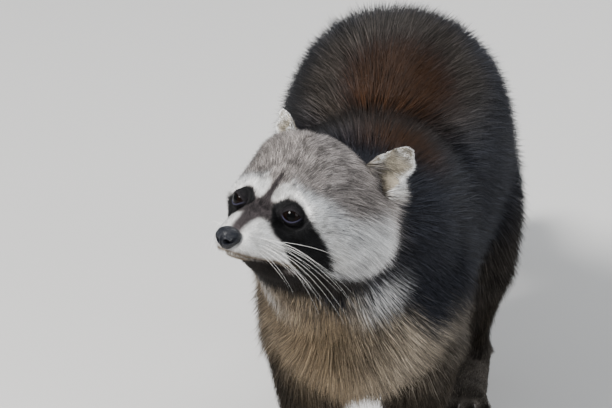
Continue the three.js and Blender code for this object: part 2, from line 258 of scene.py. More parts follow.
class Shader:
    """A material whose nodes are made from their type, settings and socket values."""

    def __init__(self, name, **constants):
        self.material = bpy.data.materials.new(name)
        self.material.use_nodes = True
        self.tree = self.material.node_tree
        self.surface = self.tree.nodes["Principled BSDF"]
        for socket, value in constants.items():
            self.surface.inputs[socket.replace("_", " ")].default_value = value

    def node(self, kind, choices=None, values=()):
        made = self.tree.nodes.new("ShaderNode" + kind)
        for key, choice in (choices or {}).items():
            setattr(made, key, choice)
        pairs = values.items() if isinstance(values, dict) else enumerate(values)
        for key, value in pairs:
            self.give(made.inputs[key], value)
        return made

    def give(self, socket, value):
        if isinstance(value, Value):
            self.tree.links.new(value.socket, socket)
        else:
            socket.default_value = value

    def out(self, node, output=0):
        return Value(self, node.outputs[output])

    def attribute(self, name, output="Fac"):
        return self.out(self.node("Attribute", {"attribute_name": name}), output)

    def place(self):
        return self.out(self.node("TexCoord"), "Object")

    def noise(self, scale, detail=2.0, roughness=0.5):
        values = {"Vector": self.place(), "Scale": scale, "Detail": detail, "Roughness": roughness}
        return self.out(self.node("TexNoise", None, values), "Fac")

    def step(self, value, low, high):
        values = {"Value": value, "From Min": low, "From Max": high}
        return self.out(self.node("MapRange", {"interpolation_type": "SMOOTHSTEP"}, values))

    def blend(self, share, a, b, way="MIX"):
        made = self.node("Mix", {"data_type": "RGBA", "blend_type": way})
        for index, value in ((MIX_SHARE, share), (MIX_A, a), (MIX_B, b)):
            self.give(made.inputs[index], value)
        return Value(self, made.outputs[MIX_RESULT])

    def grey(self, value):
        return self.out(self.node("CombineColor", None, [value, value, value]))

    def link(self, socket, value):
        self.tree.links.new(value.socket, self.surface.inputs[socket])

    def bump(self, height, distance):
        made = self.node("Bump", None, {"Height": height, "Distance": distance, "Strength": 1.0})
        self.link("Normal", self.out(made, "Normal"))


def rgba(values):
    return (*values, 1.0)


def plain(name, colour_value, roughness):
    """A material of one colour."""
    s = Shader(name, Roughness=roughness)
    s.surface.inputs["Base Color"].default_value = rgba(colour_value)
    return s.material


def coat_shader():
    """Hair: each tuft runs from its root's colour to its tip's, with finer strands of its own."""
    s = Shader("coat", Roughness=0.6, Specular_IOR_Level=0.13)
    along = s.attribute("along")
    root, tip = s.attribute("coat_root", "Color"), s.attribute("coat_tip", "Color")
    grown = s.blend(s.step(along, 0.05, 0.75), root, tip)
    strands = s.noise(900.0, 1.0) * 0.5 + 0.75
    s.link("Base Color", s.blend(1.0, grown, s.grey(strands), "MULTIPLY"))
    return s.material


def skin_shader():
    """Skin with the coat's markings, and short hair in its bump."""
    s = Shader("skin", Roughness=0.7, Specular_IOR_Level=0.1)
    base = s.attribute("coat_root", "Color")
    strands = s.noise(1400.0, 3.0, 0.6)
    s.link("Base Color", s.blend(1.0, base, s.grey(strands * 0.9 + 0.55), "MULTIPLY"))
    s.bump(strands, 0.0006)
    return s.material


# ---------------------------------------------------------------- meshes
def mesh_from(name, points, faces):
    """A mesh from an array of points and an array of faces with one number of corners."""
    made = bpy.data.meshes.new(name)
    count, corners = faces.shape
    made.vertices.add(len(points))
    made.vertices.foreach_set("co", np.asarray(points, np.float32).ravel())
    made.loops.add(count * corners)
    made.loops.foreach_set("vertex_index", np.asarray(faces, np.int32).ravel())
    made.polygons.add(count)
    made.polygons.foreach_set("loop_start", np.arange(0, count * corners, corners, dtype=np.int32))
    made.update(calc_edges=True)
    smooth_shaded(made)
    return made


def show(name, mesh, material=None):
    made = bpy.data.objects.new(name, mesh)
    bpy.context.scene.collection.objects.link(made)
    if material:
        made.data.materials.clear()
        made.data.materials.append(material)
    return made


def applied(mesh, kind, choices, inputs=None):
    """The mesh that a modifier makes of a mesh."""
    rough = show("rough", mesh)
    change = rough.modifiers.new("change", kind)
    for key, choice in choices.items():
        setattr(change, key, choice)
    for key, value in (inputs or {}).items():
        change[key] = value
    graph = bpy.context.evaluated_depsgraph_get()
    made = bpy.data.meshes.new_from_object(rough.evaluated_get(graph))
    bpy.data.objects.remove(rough)
    if not len(made.polygons):
        raise RuntimeError(f"{mesh.name} has no faces left")
    return made


def finish_piece(piece, slot, *nodes):
    """The piece rides on the body and hides the nodes it replaces."""
    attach(piece, BODY)
    if nodes:
        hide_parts(*nodes)


def read(items, field, width, kind=np.float32):
    """One field of a mesh's items, as a row for each."""
    found = np.empty(len(items) * width, kind)
    items.foreach_get(field, found)
    return found.reshape(-1, width)


def points_of(mesh):
    """Where the mesh's vertices are, as a row for each."""
    return read(mesh.vertices, "co", 3).astype(float)


def move(mesh, points):
    mesh.vertices.foreach_set("co", points.astype(np.float32).ravel())
    mesh.update()


def normals_of(mesh, points):
    """The mesh's normals once its vertices are moved to the points."""
    move(mesh, points)
    return read(mesh.vertices, "normal", 3).astype(float)


def edges_of(mesh):
    return read(mesh.edges, "vertices", 2, np.int32)


def smooth_shaded(mesh):
    mesh.polygons.foreach_set("use_smooth", np.ones(len(mesh.polygons), bool))


def grid_faces(rows, columns, closed=True):
    """Quads between rows of points, each row a ring of columns."""
    r, c = np.meshgrid(np.arange(rows - 1), np.arange(columns if closed else columns - 1), indexing="ij")
    d = (c + 1) % columns
    quads = np.stack([r * columns + c, r * columns + d, (r + 1) * columns + d, (r + 1) * columns + c], -1)
    return quads.reshape(-1, 4)


def capped_faces(rows, columns, inside_out=False):
    """Triangles between rings of points. The point after them closes the last ring, the next the first."""
    quads = grid_faces(rows, columns)
    i = np.arange(columns)
    j = (i + 1) % columns
    last = (rows - 1) * columns
    fans = np.concatenate([
        np.stack([last + i, last + j, np.full(columns, rows * columns)], 1),
        np.stack([j, i, np.full(columns, rows * columns + 1)], 1),
    ])
    if inside_out:
        quads, fans = quads[:, ::-1], fans[:, ::-1]
    return np.concatenate([quads[:, (0, 1, 2)], quads[:, (0, 2, 3)], fans])


def smoothed(values, edges, times, share=0.5):
    """Relaxes values on a mesh's vertices towards their neighbours'."""
    a, b = edges.T
    count = len(values)
    degree = np.maximum(np.bincount(a, minlength=count) + np.bincount(b, minlength=count), 1)[:, None]
    share = np.broadcast_to(np.asarray(share, float), (count,))[:, None]
    values = values.copy()
    for _ in range(times):
        columns = [np.bincount(a, v[b], count) + np.bincount(b, v[a], count) for v in values.T]
        values += share * (np.stack(columns, 1) / degree - values)
    return values


def give_floats(mesh, name, values):
    layer = mesh.attributes.new(name, "FLOAT", "POINT")
    layer.data.foreach_set("value", np.asarray(values, np.float32).ravel())


def give_colours(mesh, name, values):
    full = np.ones((len(values), 4), np.float32)
    full[:, :3] = values
    mesh.attributes.new(name, "FLOAT_COLOR", "POINT").data.foreach_set("color", full.ravel())


# ---------------------------------------------------------------- regions of the body
# Each region: the words that its nodes' names start with, the coat's depth, and its tufts' length, width and
# spacing, all in millimetres, and how far the tufts rise from the skin, in degrees.
REGIONS = {
    "head": (("head", "lower_jaw"), 4.0, 10.0, 0.6, 0.7, 16),
    "ear": (("ear_",), 0.0, 3.6, 0.34, 0.46, 5),
    "neck": (("neck",), 15.0, 30.0, 0.8, 1.0, 20),
    "trunk": (("trunk",), 16.5, 35.0, 0.84, 1.13, 19),
    "tail": (("tail_",), 17.0, 37.0, 0.88, 1.2, 23),
    "limb": (("upper_arm", "thigh"), 12.0, 27.0, 0.84, 1.13, 20),
    "shin": (("forearm", "shank"), 7.0, 16.0, 0.68, 0.98, 18),
    "foot": (("forefoot", "hind_foot"), 1.2, 5.4, 0.56, 0.84, 10),
}
NAMES = list(REGIONS)
TRAITS = np.array([values[1:] for values in REGIONS.values()], float)
DEPTH, LENGTH, WIDTH, SPACING, RISE = range(5)


def part_of(belong, name):
    """How far each place belongs to a region."""
    return belong[:, NAMES.index(name)]


def is_flesh(node):
    return not (node.startswith("eye_") or "_claw_" in node or node == "nose")


def region_of(node):
    return next(i for i, (starts, *_) in enumerate(REGIONS.values()) if node.startswith(starts))


EAR_RINGS, EAR_RING_POINTS = 26, 40
EAR_LAST_RING = 86  # degrees round the tip's circle
EAR_INSET = 0.4  # the leaf's edge lies this far inside the ear
EAR_RIM_POWER = 0.6  # below 1, the rim is rounder than an ellipse's


def ear_leaf(side, wall):
    """The leaf of an ear: rings with a cupped front and a round rim, just inside the ear."""
    rise, ahead, across = ear_axes()
    along = np.sin(np.linspace(0, np.radians(EAR_LAST_RING), EAR_RINGS))
    away = np.where(along > 0.5, (along - 0.5) / 0.5, 0.6 * (0.5 - along) / 0.5)
    half = (EAR_HALF_WIDTH - EAR_INSET) * np.sqrt(1 - away**2)
    turn = round_turn(EAR_RING_POINTS)
    v = np.cos(turn)
    rim = np.sign(np.sin(turn)) * np.abs(np.sin(turn)) ** EAR_RIM_POWER
    cup = EAR_CUP * (half / EAR_HALF_WIDTH) ** 2
    lift = cup[:, None] * (v**2 - 1) - 2.2 * (1 - v**4) + rim * wall / 2
    sideways = EAR_OUT + half[:, None] * np.sin(v * np.pi / 2)
    up = np.repeat(along[:, None] * (EAR_LENGTH - EAR_INSET), EAR_RING_POINTS, 1)
    leaf = EAR_ROOT + sideways[..., None] * across + lift[..., None] * ahead + up[..., None] * rise
    top = EAR_ROOT + EAR_OUT * across + (EAR_LENGTH - EAR_INSET / 2) * rise - 1.6 * ahead
    base = EAR_ROOT + EAR_OUT * across - EAR_CUP * ahead
    points = np.array([*leaf.reshape(-1, 3), top, base]) * (side, 1, 1)
    return from_head(points), capped_faces(EAR_RINGS, EAR_RING_POINTS)[:, ::side]


def swollen(node, distance):
    """Points and triangles of a node's mesh, moved outwards."""
    bm = bmesh.new()
    bm.from_mesh(node.data)
    bmesh.ops.remove_doubles(bm, verts=bm.verts, dist=1e-6)
    bm.normal_update()
    points = np.array([v.co + v.normal * distance for v in bm.verts])
    faces = np.array([[v.index for v in f.verts] for f in bm.faces])
    bm.free()
    return points, faces


def flesh_surfaces(sizes):
    """Points and triangles of the flesh nodes, each swollen a little, and each triangle's region."""
    points, faces, regions, base = [], [], [], 0
    for name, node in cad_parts.items():
        if not is_flesh(name):
            continue
        if name.startswith("ear_"):
            found, corners = ear_leaf(1 if name == "ear_left" else -1, sizes.ear_wall / MM)
        else:
            found, corners = swollen(node, sizes.closing)
        points.append(found)
        faces.append(corners + base)
        regions += [region_of(name)] * len(corners)
        base += len(found)
    return np.concatenate(points), np.concatenate(faces), np.array(regions)


def remeshed(points, faces, grain):
    """One closed surface round everything, made of faces of one size."""
    choices = {"mode": "VOXEL", "voxel_size": grain, "use_smooth_shade": True}
    whole = applied(mesh_from("rough", points, faces), "REMESH", choices)
    bm = bmesh.new()
    bm.from_mesh(whole)
    keep_largest(bm)
    bm.to_mesh(whole)
    bm.free()
    return whole


def keep_largest(bm):
    """Takes away every island of the mesh but the one with the most points."""
    left, largest = set(bm.verts), []
    while left:
        island, front = [], [left.pop()]
        while front:
            vertex = front.pop()
            island.append(vertex)
            for edge in vertex.link_edges:
                other = edge.other_vert(vertex)
                if other in left:
                    left.remove(other)
                    front.append(other)
        if len(island) > len(largest):
            largest, island = island, largest
        for vertex in island:
            bm.verts.remove(vertex)


def nearest(points, others):
    """The index of the nearest point for each of the others."""
    tree = KDTree(len(points))
    for i, p in enumerate(points):
        tree.insert(p, i)
    tree.balance()
    return np.array([tree.find(p)[1] for p in others])


def surface_tree(points, faces):
    """A tree that finds the nearest triangle, or the one that a line meets."""
    return BVHTree.FromPolygons([tuple(p) for p in points], [tuple(map(int, f)) for f in faces])


def nearest_regions(points, surface_points, surface_faces, regions):
    """How far each point belongs to each region: 1 for that of the nearest triangle, 0 for the others."""
    tree = surface_tree(surface_points, surface_faces)
    found = np.array([regions[tree.find_nearest(Vector(p))[2]] for p in points])
    return np.eye(len(NAMES))[found]


# ---------------------------------------------------------------- the head's chart
CHART_CENTRE = (0.0, 30.0, -15.0)  # the point inside the head that the chart is seen from


def chart(head):
    """Bearing from the muzzle and height of places on the head, in degrees."""
    away = head - CHART_CENTRE
    bearing = np.degrees(np.arctan2(np.abs(away[:, 0]), -away[:, 1]))
    height = np.degrees(np.arctan2(away[:, 2], np.hypot(away[:, 0], away[:, 1])))
    return np.stack([bearing, height], 1)


def outline_distance(places, outline):
    """Signed distance of places from a closed outline, positive inside."""
    corners = np.array(outline, float)
    closest = np.full(len(places), np.inf)
    inside = np.zeros(len(places), bool)
    for a, b in zip(corners, np.roll(corners, -1, axis=0)):
        side, to = b - a, places - a
        t = np.clip(to @ side / (side @ side), 0, 1)
        closest = np.minimum(closest, np.linalg.norm(to - t[:, None] * side, axis=1))
        crosses = (a[1] > places[:, 1]) != (b[1] > places[:, 1])
        level = np.where(b[1] == a[1], 1e-9, b[1] - a[1])
        inside ^= crosses & (places[:, 0] < a[0] + (places[:, 1] - a[1]) / level * (b[0] - a[0]))
    return np.where(inside, closest, -closest)


# Outlines on the chart: bearing and height in degrees. Those that cross the middle of the face are closed
# beyond it, at -9, so that no edge runs down the middle.
MASK = [
    (13, 33), (20, 37), (29.6, 40), (41, 36), (48, 31), (53, 24), (60, 13.6), (75.5, 0), (93, -17),
    (110, -28), (126, -36), (142, -39), (154, -44), (154, -58), (135, -62), (110, -60), (85, -56), (71, -51),
    (58, -41), (45, -27), (37, -14), (31, -3), (25, 2), (20, 10), (17, 18), (14, 25),
]
MUZZLE = [
    (-9, 6), (4, 10), (9, 13.5), (18.6, 11.5), (24.4, 3), (32.5, -5.5), (41, -18), (46, -28), (40, -32),
    (17, -25), (8, -20), (-9, -18),
]
BROW = [
    (6, 38), (13, 35), (29.6, 41), (40, 39), (46, 36), (52, 38), (50, 46), (40, 53), (26, 60), (14, 58),
    (7, 50),
]
BRIDGE = [
    (-9, -7), (4.2, -3), (5.6, 4), (6.6, 9), (8.5, 12.5), (12, 14.5), (19, 12), (18, 18), (14.5, 26),
    (13, 33), (8, 37), (6, 48), (6.5, 62), (5, 72), (-9, 76),
]
BAND = [
    (48, 33), (61, 15), (75.5, 0), (92, -17), (116, -33),
    (124, -26), (108, -12), (92, 6), (80, 20), (66, 36),
]
LIGHT_CHEEK = [
    (36, 62), (60, 47), (88, 29), (104, 14), (128, 6), (150, -8), (140, -50), (112, -44), (92, -18), (75, 0),
    (61, 14), (48, 33),
]


def head_marks(head):
    """How far each place on the head belongs to each marking, and to the painted shade under the jaw."""
    at = chart(head)
    across, back, up = np.abs(head[:, 0]), head[:, 1], head[:, 2]

    def within(outline, softness):
        return smoothstep(outline_distance(at, outline), -softness, softness)

    fading = 1 - smoothstep(back, 12, 40)
    below = mouth_level(back) - up
    ahead = 1 - smoothstep(back, 4, 16)
    lip = bell(below, -1.0, 1.5) * ahead
    chin = smoothstep(below, 0.2, 2.0) * (1 - smoothstep(back, -26, -14))
    # jaw and shaded_throat are painted shade: the lower jaw and the throat are darkened where the head
    # shades them, not a marking
    jaw = smoothstep(below, 0.2, 2.0) * ahead * smoothstep(back, -28, -14)
    shaded_throat = smoothstep(-up, 38, 47) * smoothstep(back, -14, 2) * (1 - smoothstep(across, 34, 56))
    shaded_throat = np.maximum(shaded_throat * (1 - smoothstep(-up, 67, 79)) * (1 - smoothstep(back, 80, 102)), jaw)
    return {
        "mask": within(MASK, 1.8),
        "muzzle": within(MUZZLE, 2.0),
        "brow": within(BROW, 2.5),
        "band": within(BAND, 5.0),
        "cheek": within(LIGHT_CHEEK, 9.0),
        "bridge": within(BRIDGE, 3.2) * fading,
        "lip": lip,
        "chin": chin,
        "shaded_throat": shaded_throat,
    }


# ---------------------------------------------------------------- colours of the coat
def along_tail(points):
    """Share of the tail's path at each point, from its root to its tip."""
    mm = points / MM
    spans = np.linalg.norm(np.diff(TAIL_PATH, axis=0), axis=1)
    starts = np.concatenate([[0], np.cumsum(spans)])
    best, share = np.full(len(mm), np.inf), np.zeros(len(mm))
    for i, span in enumerate(spans):
        side = (TAIL_PATH[i + 1] - TAIL_PATH[i]) / span
        t = np.clip((mm - TAIL_PATH[i]) @ side, 0, span)
        away = np.linalg.norm(mm - TAIL_PATH[i] - t[:, None] * side, axis=1)
        closer = away < best
        best = np.where(closer, away, best)
        share = np.where(closer, starts[i] + t, share)
    return share / starts[-1]


TAIL_RINGS = 6
CREASE_Y = -121  # where the fold behind the withers crosses the middle of the back

# Patches on the back, seen from above: the middle and the half-sizes, in millimetres.
RIDGE = ((12, -72), (44, 52))  # rich brown behind the shoulders
GRIZZLE = ((10, -60), (82, 92))  # fainter brown round it
WITHERS = ((26, -148), (30, 17))  # a brown tuft
RAISED_WITHERS = ((24, -146), (36, 18))  # where the skin is raised in front of the fold


def from_middle(u, v, patch):
    """Distance from a patch's middle, 1 at its edge."""
    (u_middle, v_middle), (u_half, v_half) = patch
    return np.hypot((u - u_middle) / u_half, (v - v_middle) / v_half)


def back_crease(points):
    """1 in the fold across the back, behind the withers."""
    x, y, z = (points / MM).T
    line = CREASE_Y + 0.16 * np.maximum(x, 0) - 0.05 * np.minimum(x, 0)
    return bell(y, line, 6.5) * smoothstep(z, 236, 268)


CELL_KEY, CELL_SCALE = (127.1, 311.7, 74.7), 43758.5453  # give every cell a number without a pattern


def uneven(points, size):
    """Numbers from -1 to 1 that change over patches of the size given, in millimetres."""
    cells = points / MM / size
    low = np.floor(cells)
    share = cells - low
    share = share * share * (3 - 2 * share)
    total = np.zeros(len(points))
    for corner in np.ndindex(2, 2, 2):
        drawn = np.modf(np.abs(np.sin((low + corner) @ CELL_KEY)) * CELL_SCALE)[0]
        total += drawn * np.prod(np.where(corner, share, 1 - share), axis=1)
    return 2 * total - 1


class Hair:
    """Root and tip colours of the hair at some points, laid on in layers."""

    def __init__(self, points, belong, chance):
        """chance holds three random numbers for each point."""
        self.points, self.belong, self.chance = points, belong, chance
        self.share = {name: part_of(belong, name) for name in NAMES}
        self.on_head = np.clip((self.share["head"] + self.share["ear"]) * 1.5, 0, 1)
        # every place starts from the flanks' colours, painted shade included
        self.root, self.tip = (np.tile(tone(name), (len(points), 1)) for name in ("flank_root", "shaded_flank_tip"))

    def paint(self, root, tip, share):
        """Lays a pair of named colours over the others."""
        self.root = mixed(self.root, tone(root), share)
        self.tip = mixed(self.tip, tone(tip), share)

    def scale(self, root, tip, share):
        """Multiplies the colours of the roots and of the tips."""
        self.root = mixed(self.root, self.root * root, share)
        self.tip = mixed(self.tip, self.tip * tip, share)

    def paint_back(self):
        """The brown of the back, and painted shade darkening the fold behind the withers. Returns how brown
        each place is.
        """
        x, y, z = (self.points / MM).T
        top = smoothstep(z, 238, 286)
        ridge = (1 - smoothstep(from_middle(x, y, RIDGE), 0.62, 1.25)) * top
        grizzle = (1 - smoothstep(from_middle(x, y, GRIZZLE), 0.7, 1.2)) * top * (1 - ridge)
        withers = np.clip(1.3 * bell(from_middle(x, y, WITHERS), 0, 1), 0, 1) * smoothstep(z, 240, 268)
        self.paint("ridge_root", "grizzle_tip", grizzle)
        ridge = np.maximum(ridge, withers)
        self.paint("ridge_root", "ridge_tip", ridge)
        # painted shade: the hair in the fold behind the withers is darkened where shade falls into it
        self.scale(0.5, 0.45, back_crease(self.points))
        return ridge

    def paint_breast(self):
        """The breast and the belly, with a ragged upper edge. Returns how far each place is on them."""
        x, y, z = (self.points / MM).T
        ragged = 7 * np.sin(x * 0.11 + y * 0.07) + 5 * np.sin(x * 0.23 - y * 0.13 + 2)
        ragged = ragged + 22 * (self.chance[:, 1] - 0.5)
        edge = 206 - 0.5 * np.maximum(x + 30, 0) + ragged
        breast = (1 - smoothstep(z, edge - 26, edge + 6)) * (1 - smoothstep(y + ragged, -205, -130))
        below = (1 - smoothstep(z, 92, 140)) * 0.7
        breast = np.maximum(np.clip(breast, 0, 1), below * (self.share["trunk"] + self.share["neck"]))
        self.paint("breast_root", "breast_grey", breast)
        tan = breast * (0.55 + 0.45 * (1 - smoothstep(x, -20, 45)))
        self.tip = mixed(self.tip, tone("breast_tip"), tan)
        return breast

    def paint_legs(self):
        low = 1 - smoothstep(self.points[:, 2] / MM, 120, 190)
        self.paint("leg_root", "leg_tip", np.clip(self.share["shin"] + 0.7 * self.share["limb"] * low, 0, 1))
        self.paint("leg_root", "foot_tip", np.clip(self.share["foot"] * 1.3, 0, 1))

    def paint_tail(self):
        """The tail's rings and dark tip. Returns how far each place is on a dark one."""
        path = along_tail(self.points)
        wave = np.sin((path * TAIL_RINGS + 0.18) * 2 * np.pi) + 2.2 * smoothstep(path, 0.9, 0.95)
        tail = np.clip(self.share["tail"] * 1.6, 0, 1)
        dark = tail * (smoothstep(wave, -0.25, 0.25) * smoothstep(path, 0.04, 0.12))
        self.paint("leg_root", "ring_pale", tail)
        self.paint("ring_dark", "ring_dark", dark)
        return dark

    def pale_collar(self):
        """1 in the pale streaks on the front of the neck, one on each side."""
        x, y, z = (self.points / MM).T
        middle = np.where(x > 0, 30, -66)
        inside = bell(np.hypot((x - middle) / 19, (z - 187 - 0.3 * np.sign(x) * (x - middle)) / 13), 0, 1)
        return self.share["neck"] * inside * (1 - smoothstep(y, -244, -228)) * (self.chance[:, 1] > 0.2)

    def paint_head(self):
        """The markings of the head and ears, with painted shade in the ears' hollows and under the jaw.
        Returns those of the head by name.
        """
        head, on = to_head(self.points), self.on_head
        marks = head_marks(head)
        layers = [
            ("crown_root", "crown_tip", on),
            ("cheek_root", "cheek_tip", on * marks["cheek"]),
            ("white_root", "white", on * marks["band"] * 0.9),
            ("white_root", "white", on * marks["brow"]),
            ("white_root", "white", on * marks["muzzle"]),
            ("bridge", "bridge", on * marks["bridge"]),
            ("mask", "mask", on * marks["mask"]),
            ("lip", "lip", on * marks["lip"]),
            # painted shade under the jaw and down the throat
            ("shaded_throat", "shaded_throat", np.clip(on + self.share["neck"], 0, 1) * marks["shaded_throat"]),
            ("lip", "chin", on * marks["chin"]),
            ("cheek_root", "cheek_tip", self.pale_collar() * 0.9),
        ]
        for layer in layers:
            self.paint(*layer)
        ear = np.clip(self.share["ear"] * 1.4 - 0.2, 0, 1)
        self.root = mixed(self.root, tone("ear") * 0.35, ear)
        self.tip = mixed(mixed(self.tip, tone("ear"), ear), tone("white"), ear * ear_rim(head))
        # painted shade: the hollow of each ear is darkened towards its outer rim, where the rim shades it
        hollow_shade = ear_hollow(head, self.belong) * smoothstep(ear_place(head)[0], -3, 6)
        self.tip = mixed(self.tip, tone("ear") * 0.5, 0.7 * hollow_shade)
        for side in (1, -1):
            a, b, depth, _ = lid_places(head, side)
            lids = (1 - smoothstep(np.hypot(a, b), 10, 16)) * (depth > -6) * on * marks["mask"]
            self.scale(0.35, 0.35, lids)
        return marks

    def vary(self, marks, breast, even):
        """Makes every tuft differ: a few are silver or dark at the tip, and all vary in depth of colour."""
        on, chance = self.on_head, self.chance
        silver = (chance[:, 0] > 0.80) * (1 - even)
        self.tip = mixed(self.tip, self.tip * 2.4 + 0.02, silver)
        crown = on * (1 - marks["cheek"]) * (1 - marks["muzzle"]) * (1 - marks["brow"])
        pale = (chance[:, 0] > 0.7) * crown * (1 - marks["mask"]) * (1 - marks["bridge"])
        pepper = (chance[:, 0] < 0.28) * (1 - on * np.clip(marks["muzzle"] + 0.75 * marks["brow"], 0, 1))
        self.scale(1, 1.6, pale)
        self.scale(1, 0.35, pepper * 0.85)
        streaky = np.clip(breast + on * (1 - marks["muzzle"]) * (1 - 0.6 * marks["brow"]), 0, 1)
        streaks = uneven(self.points, 3.2) + 0.7 * uneven(self.points + 7, 8)
        depth = 1 + (0.22 + 0.14 * streaky) * (2 * chance[:, 1] - 1) + (0.24 + 0.30 * streaky) * streaks
        depth = np.maximum(depth, 0.15)[:, None]
        self.root, self.tip = np.clip(self.root * depth, 0, 1), np.clip(self.tip * depth, 0, 1)


def coat_colours(points, belong, chance):
    """Root and tip colours of the hair at each point."""
    hair = Hair(points, belong, chance)
    ridge = hair.paint_back()
    breast = hair.paint_breast()
    hair.paint_legs()
    dark = hair.paint_tail()
    marks = hair.paint_head()
    hair.vary(marks, breast, np.clip(dark + 0.95 * ridge + 0.5 * breast + hair.on_head, 0, 1))
    return hair.root, hair.tip


def ear_axes():
    """The left ear's axes on the head's: along it, forward out of its hollow and across it."""
    rise = unit(EAR_RISE)
    faces = np.array(EAR_FACES)
    ahead = unit(faces - rise * (faces @ rise))
    return rise, ahead, np.cross(rise, ahead)


def ear_place(head):
    """Places on either ear: across it, forward out of its hollow and along it, in millimetres."""
    from_root = head * mirrored(np.where(head[:, 0] > 0, 1.0, -1.0)) - EAR_ROOT
    rise, ahead, across = ear_axes()
    return from_root @ across - EAR_OUT, from_root @ ahead, from_root @ rise


def ear_rim(head):
    """1 on the rim and the outer side of an ear, 0 in its hollow."""
    across, ahead, along = ear_place(head)
    edge = smoothstep(np.abs(across), 7.5, 11)
    top = smoothstep(along, EAR_LENGTH - 14, EAR_LENGTH - 7)
    return np.clip(np.maximum(edge, top) + smoothstep(-ahead, 13, 17) * 0.4, 0, 1)


def ear_hollow(head, belong):
    """1 where the long hair inside an ear grows."""
    _, ahead, _ = ear_place(head)
    return part_of(belong, "ear") * (1 - ear_rim(head)) * smoothstep(ahead, -14.5, -12.5)


# ---------------------------------------------------------------- skin
def head_depth(head):
    """Depth of the coat on the head, in millimetres: shallow on the muzzle, deep in the cheeks' ruff."""
    at = chart(head)
    ruff = smoothstep(at[:, 0], 58, 108) * (1 - smoothstep(at[:, 1], 25, 60))
    ruff = ruff * smoothstep(at[:, 1], -80, -50)
    crown = smoothstep(head[:, 1], -2, 30) * smoothstep(head[:, 2], 8, 30)
    under = smoothstep(-head[:, 2], 36, 52) * smoothstep(head[:, 1], -6, 24)
    return 1.3 + 3.2 * crown + 13.0 * ruff + 3.0 * under * (1 - ruff)


def eye_axes(side):
    """Centre and axes of an eye on the head's axes: its gaze, outwards and up."""
    gaze = unit(np.array(EYE_GAZE) * (side, 1, 1))
    out = unit(np.cross(gaze, (0, 0, 1)) * side)
    out = out * math.copysign(1, out[0] * side)
    up = np.cross(out, gaze) * side
    up = up * math.copysign(1, up[2])
    name = "eye_left" if side > 0 else "eye_right"
    return to_head(centre_of(name)[None])[0], gaze, out, up


LID_HALF_WIDTH, LID_RISE, LID_DROP = 7.1, 4.1, 3.9  # half the opening's width, and its height up and down
LID_RADIUS = EYE_RADIUS + 0.6  # the lids lie this far from the eye's centre
OPENING_DEPTH = 2.0  # the skin behind the opening, ahead of the eye's centre


def lid_places(head, side):
    """Places about an eye: outwards, up and forward from its centre, and 1 at the opening's edge."""
    centre, gaze, out, up = eye_axes(side)
    v = head - centre
    a, b, depth = v @ out, v @ up, v @ gaze
    half = np.where(b > 0, LID_RISE, LID_DROP)
    tall = np.sqrt((b / half) ** 2 + 0.2**2) - 0.2
    ring = np.sqrt((a / LID_HALF_WIDTH) ** 2 + tall / 0.82)
    return a, b, depth, ring


def open_eyes(head):
    """Shapes the skin round each eye: a rim that lies on the eyeball, a brow over it, and the opening."""
    for side in (1, -1):
        a, b, depth, ring = lid_places(head, side)
        _, gaze, _, _ = eye_axes(side)
        reach = np.hypot(a, b)
        near = (reach < 22) & (depth > -12)
        upper = smoothstep(b + 0.5 * a, -6, 8)
        raised = depth + 2.6 * bell(reach, 12.5, 6.0) * upper + 1.5 * bell(b, 7.5, 2.4) * bell(a, 0, 8)
        on_ball = np.sqrt(np.maximum(LID_RADIUS**2 - reach**2, 1.0))
        crease = 0.7 * bell(ring, 1.75, 0.18)
        lid = mix(on_ball, raised, smoothstep(reach, 6.0, 13.0)) - crease
        lid = lid + 0.3 * bell(ring, 1.14, 0.10)
        wanted = np.where(ring < 1, mix(OPENING_DEPTH, lid, smoothstep(ring, 0.86, 1.0)), lid)
        share = near * (1 - smoothstep(reach, 16, 21))
        head = head + ((wanted - depth) * share)[:, None] * gaze
    return head


def mouth_level(y):
    """Height of the line between the lips on the head's axes, at a place along them."""
    return -30.6 - 0.19 * (y + 35)


def shape_face(head, normals):
    """Adds the forms of the face to the skin: cheekbones, pads of the lips, and the mouth."""
    across, y, z = np.abs(head[:, 0]), head[:, 1], head[:, 2]
    on_muzzle = smoothstep(-y, -8, 2) * (1 - smoothstep(z, -12, 0))
    pad = 1.6 * bell(across, 13, 7) * bell(y, -33, 9) * bell(z, -23, 6)
    gap = z - mouth_level(y)
    line = bell(gap, 0, 1.0) * (1 - smoothstep(y, 2, 12)) * smoothstep(y + 60, 8, 16)
    lip = 0.7 * bell(gap, 2.4, 1.3) - 0.5 * bell(gap, -2.6, 1.6)
    cheekbone = 5.5 * bell(np.hypot((y - 12) / 17, (z - 2) / 17), 0, 1) * smoothstep(across, 24, 38)
    return head + normals * (cheekbone + pad + on_muzzle * (lip - 2.1 * line))[:, None]


# Where the face's skin is divided finer: centres and half-sizes on the head's axes.
# The first is smoothed after.
FINER = (
    ((0, -8, -12), (46, 46, 34)),
    ((0, -6, -8), (34, 44, 24)),
    ((23, -2, 0), (12, 12, 10)),
    ((-23, -2, 0), (12, 12, 10)),
)


def refine(mesh, centre, half_sizes):
    """Divides the faces near a place on the head."""
    bm = bmesh.new()
    bm.from_mesh(mesh)
    head = to_head(np.array([f.calc_center_median() for f in bm.faces]))
    near = np.linalg.norm((head - centre) / np.array(half_sizes), axis=1) < 1
    edges = {e for f, hit in zip(bm.faces, near) if hit for e in f.edges}
    bmesh.ops.subdivide_edges(bm, edges=list(edges), cuts=1, use_grid_fill=True)
    bmesh.ops.triangulate(bm, faces=[f for f in bm.faces if len(f.verts) > 4])
    bm.to_mesh(mesh)
    bm.free()


def fold_back(points, normals):
    """Presses the fold in behind the withers and raises the withers in front of it."""
    x, y, z = (points / MM).T
    raised = 3.0 * bell(from_middle(x, y, RAISED_WITHERS), 0, 1) * smoothstep(z, 225, 262)
    fold = 3.0 * back_crease(points)
    return points + normals * ((raised - fold) * MM)[:, None]


SINKING_STEPS = 8  # the surface is sunk under the coat in this many steps


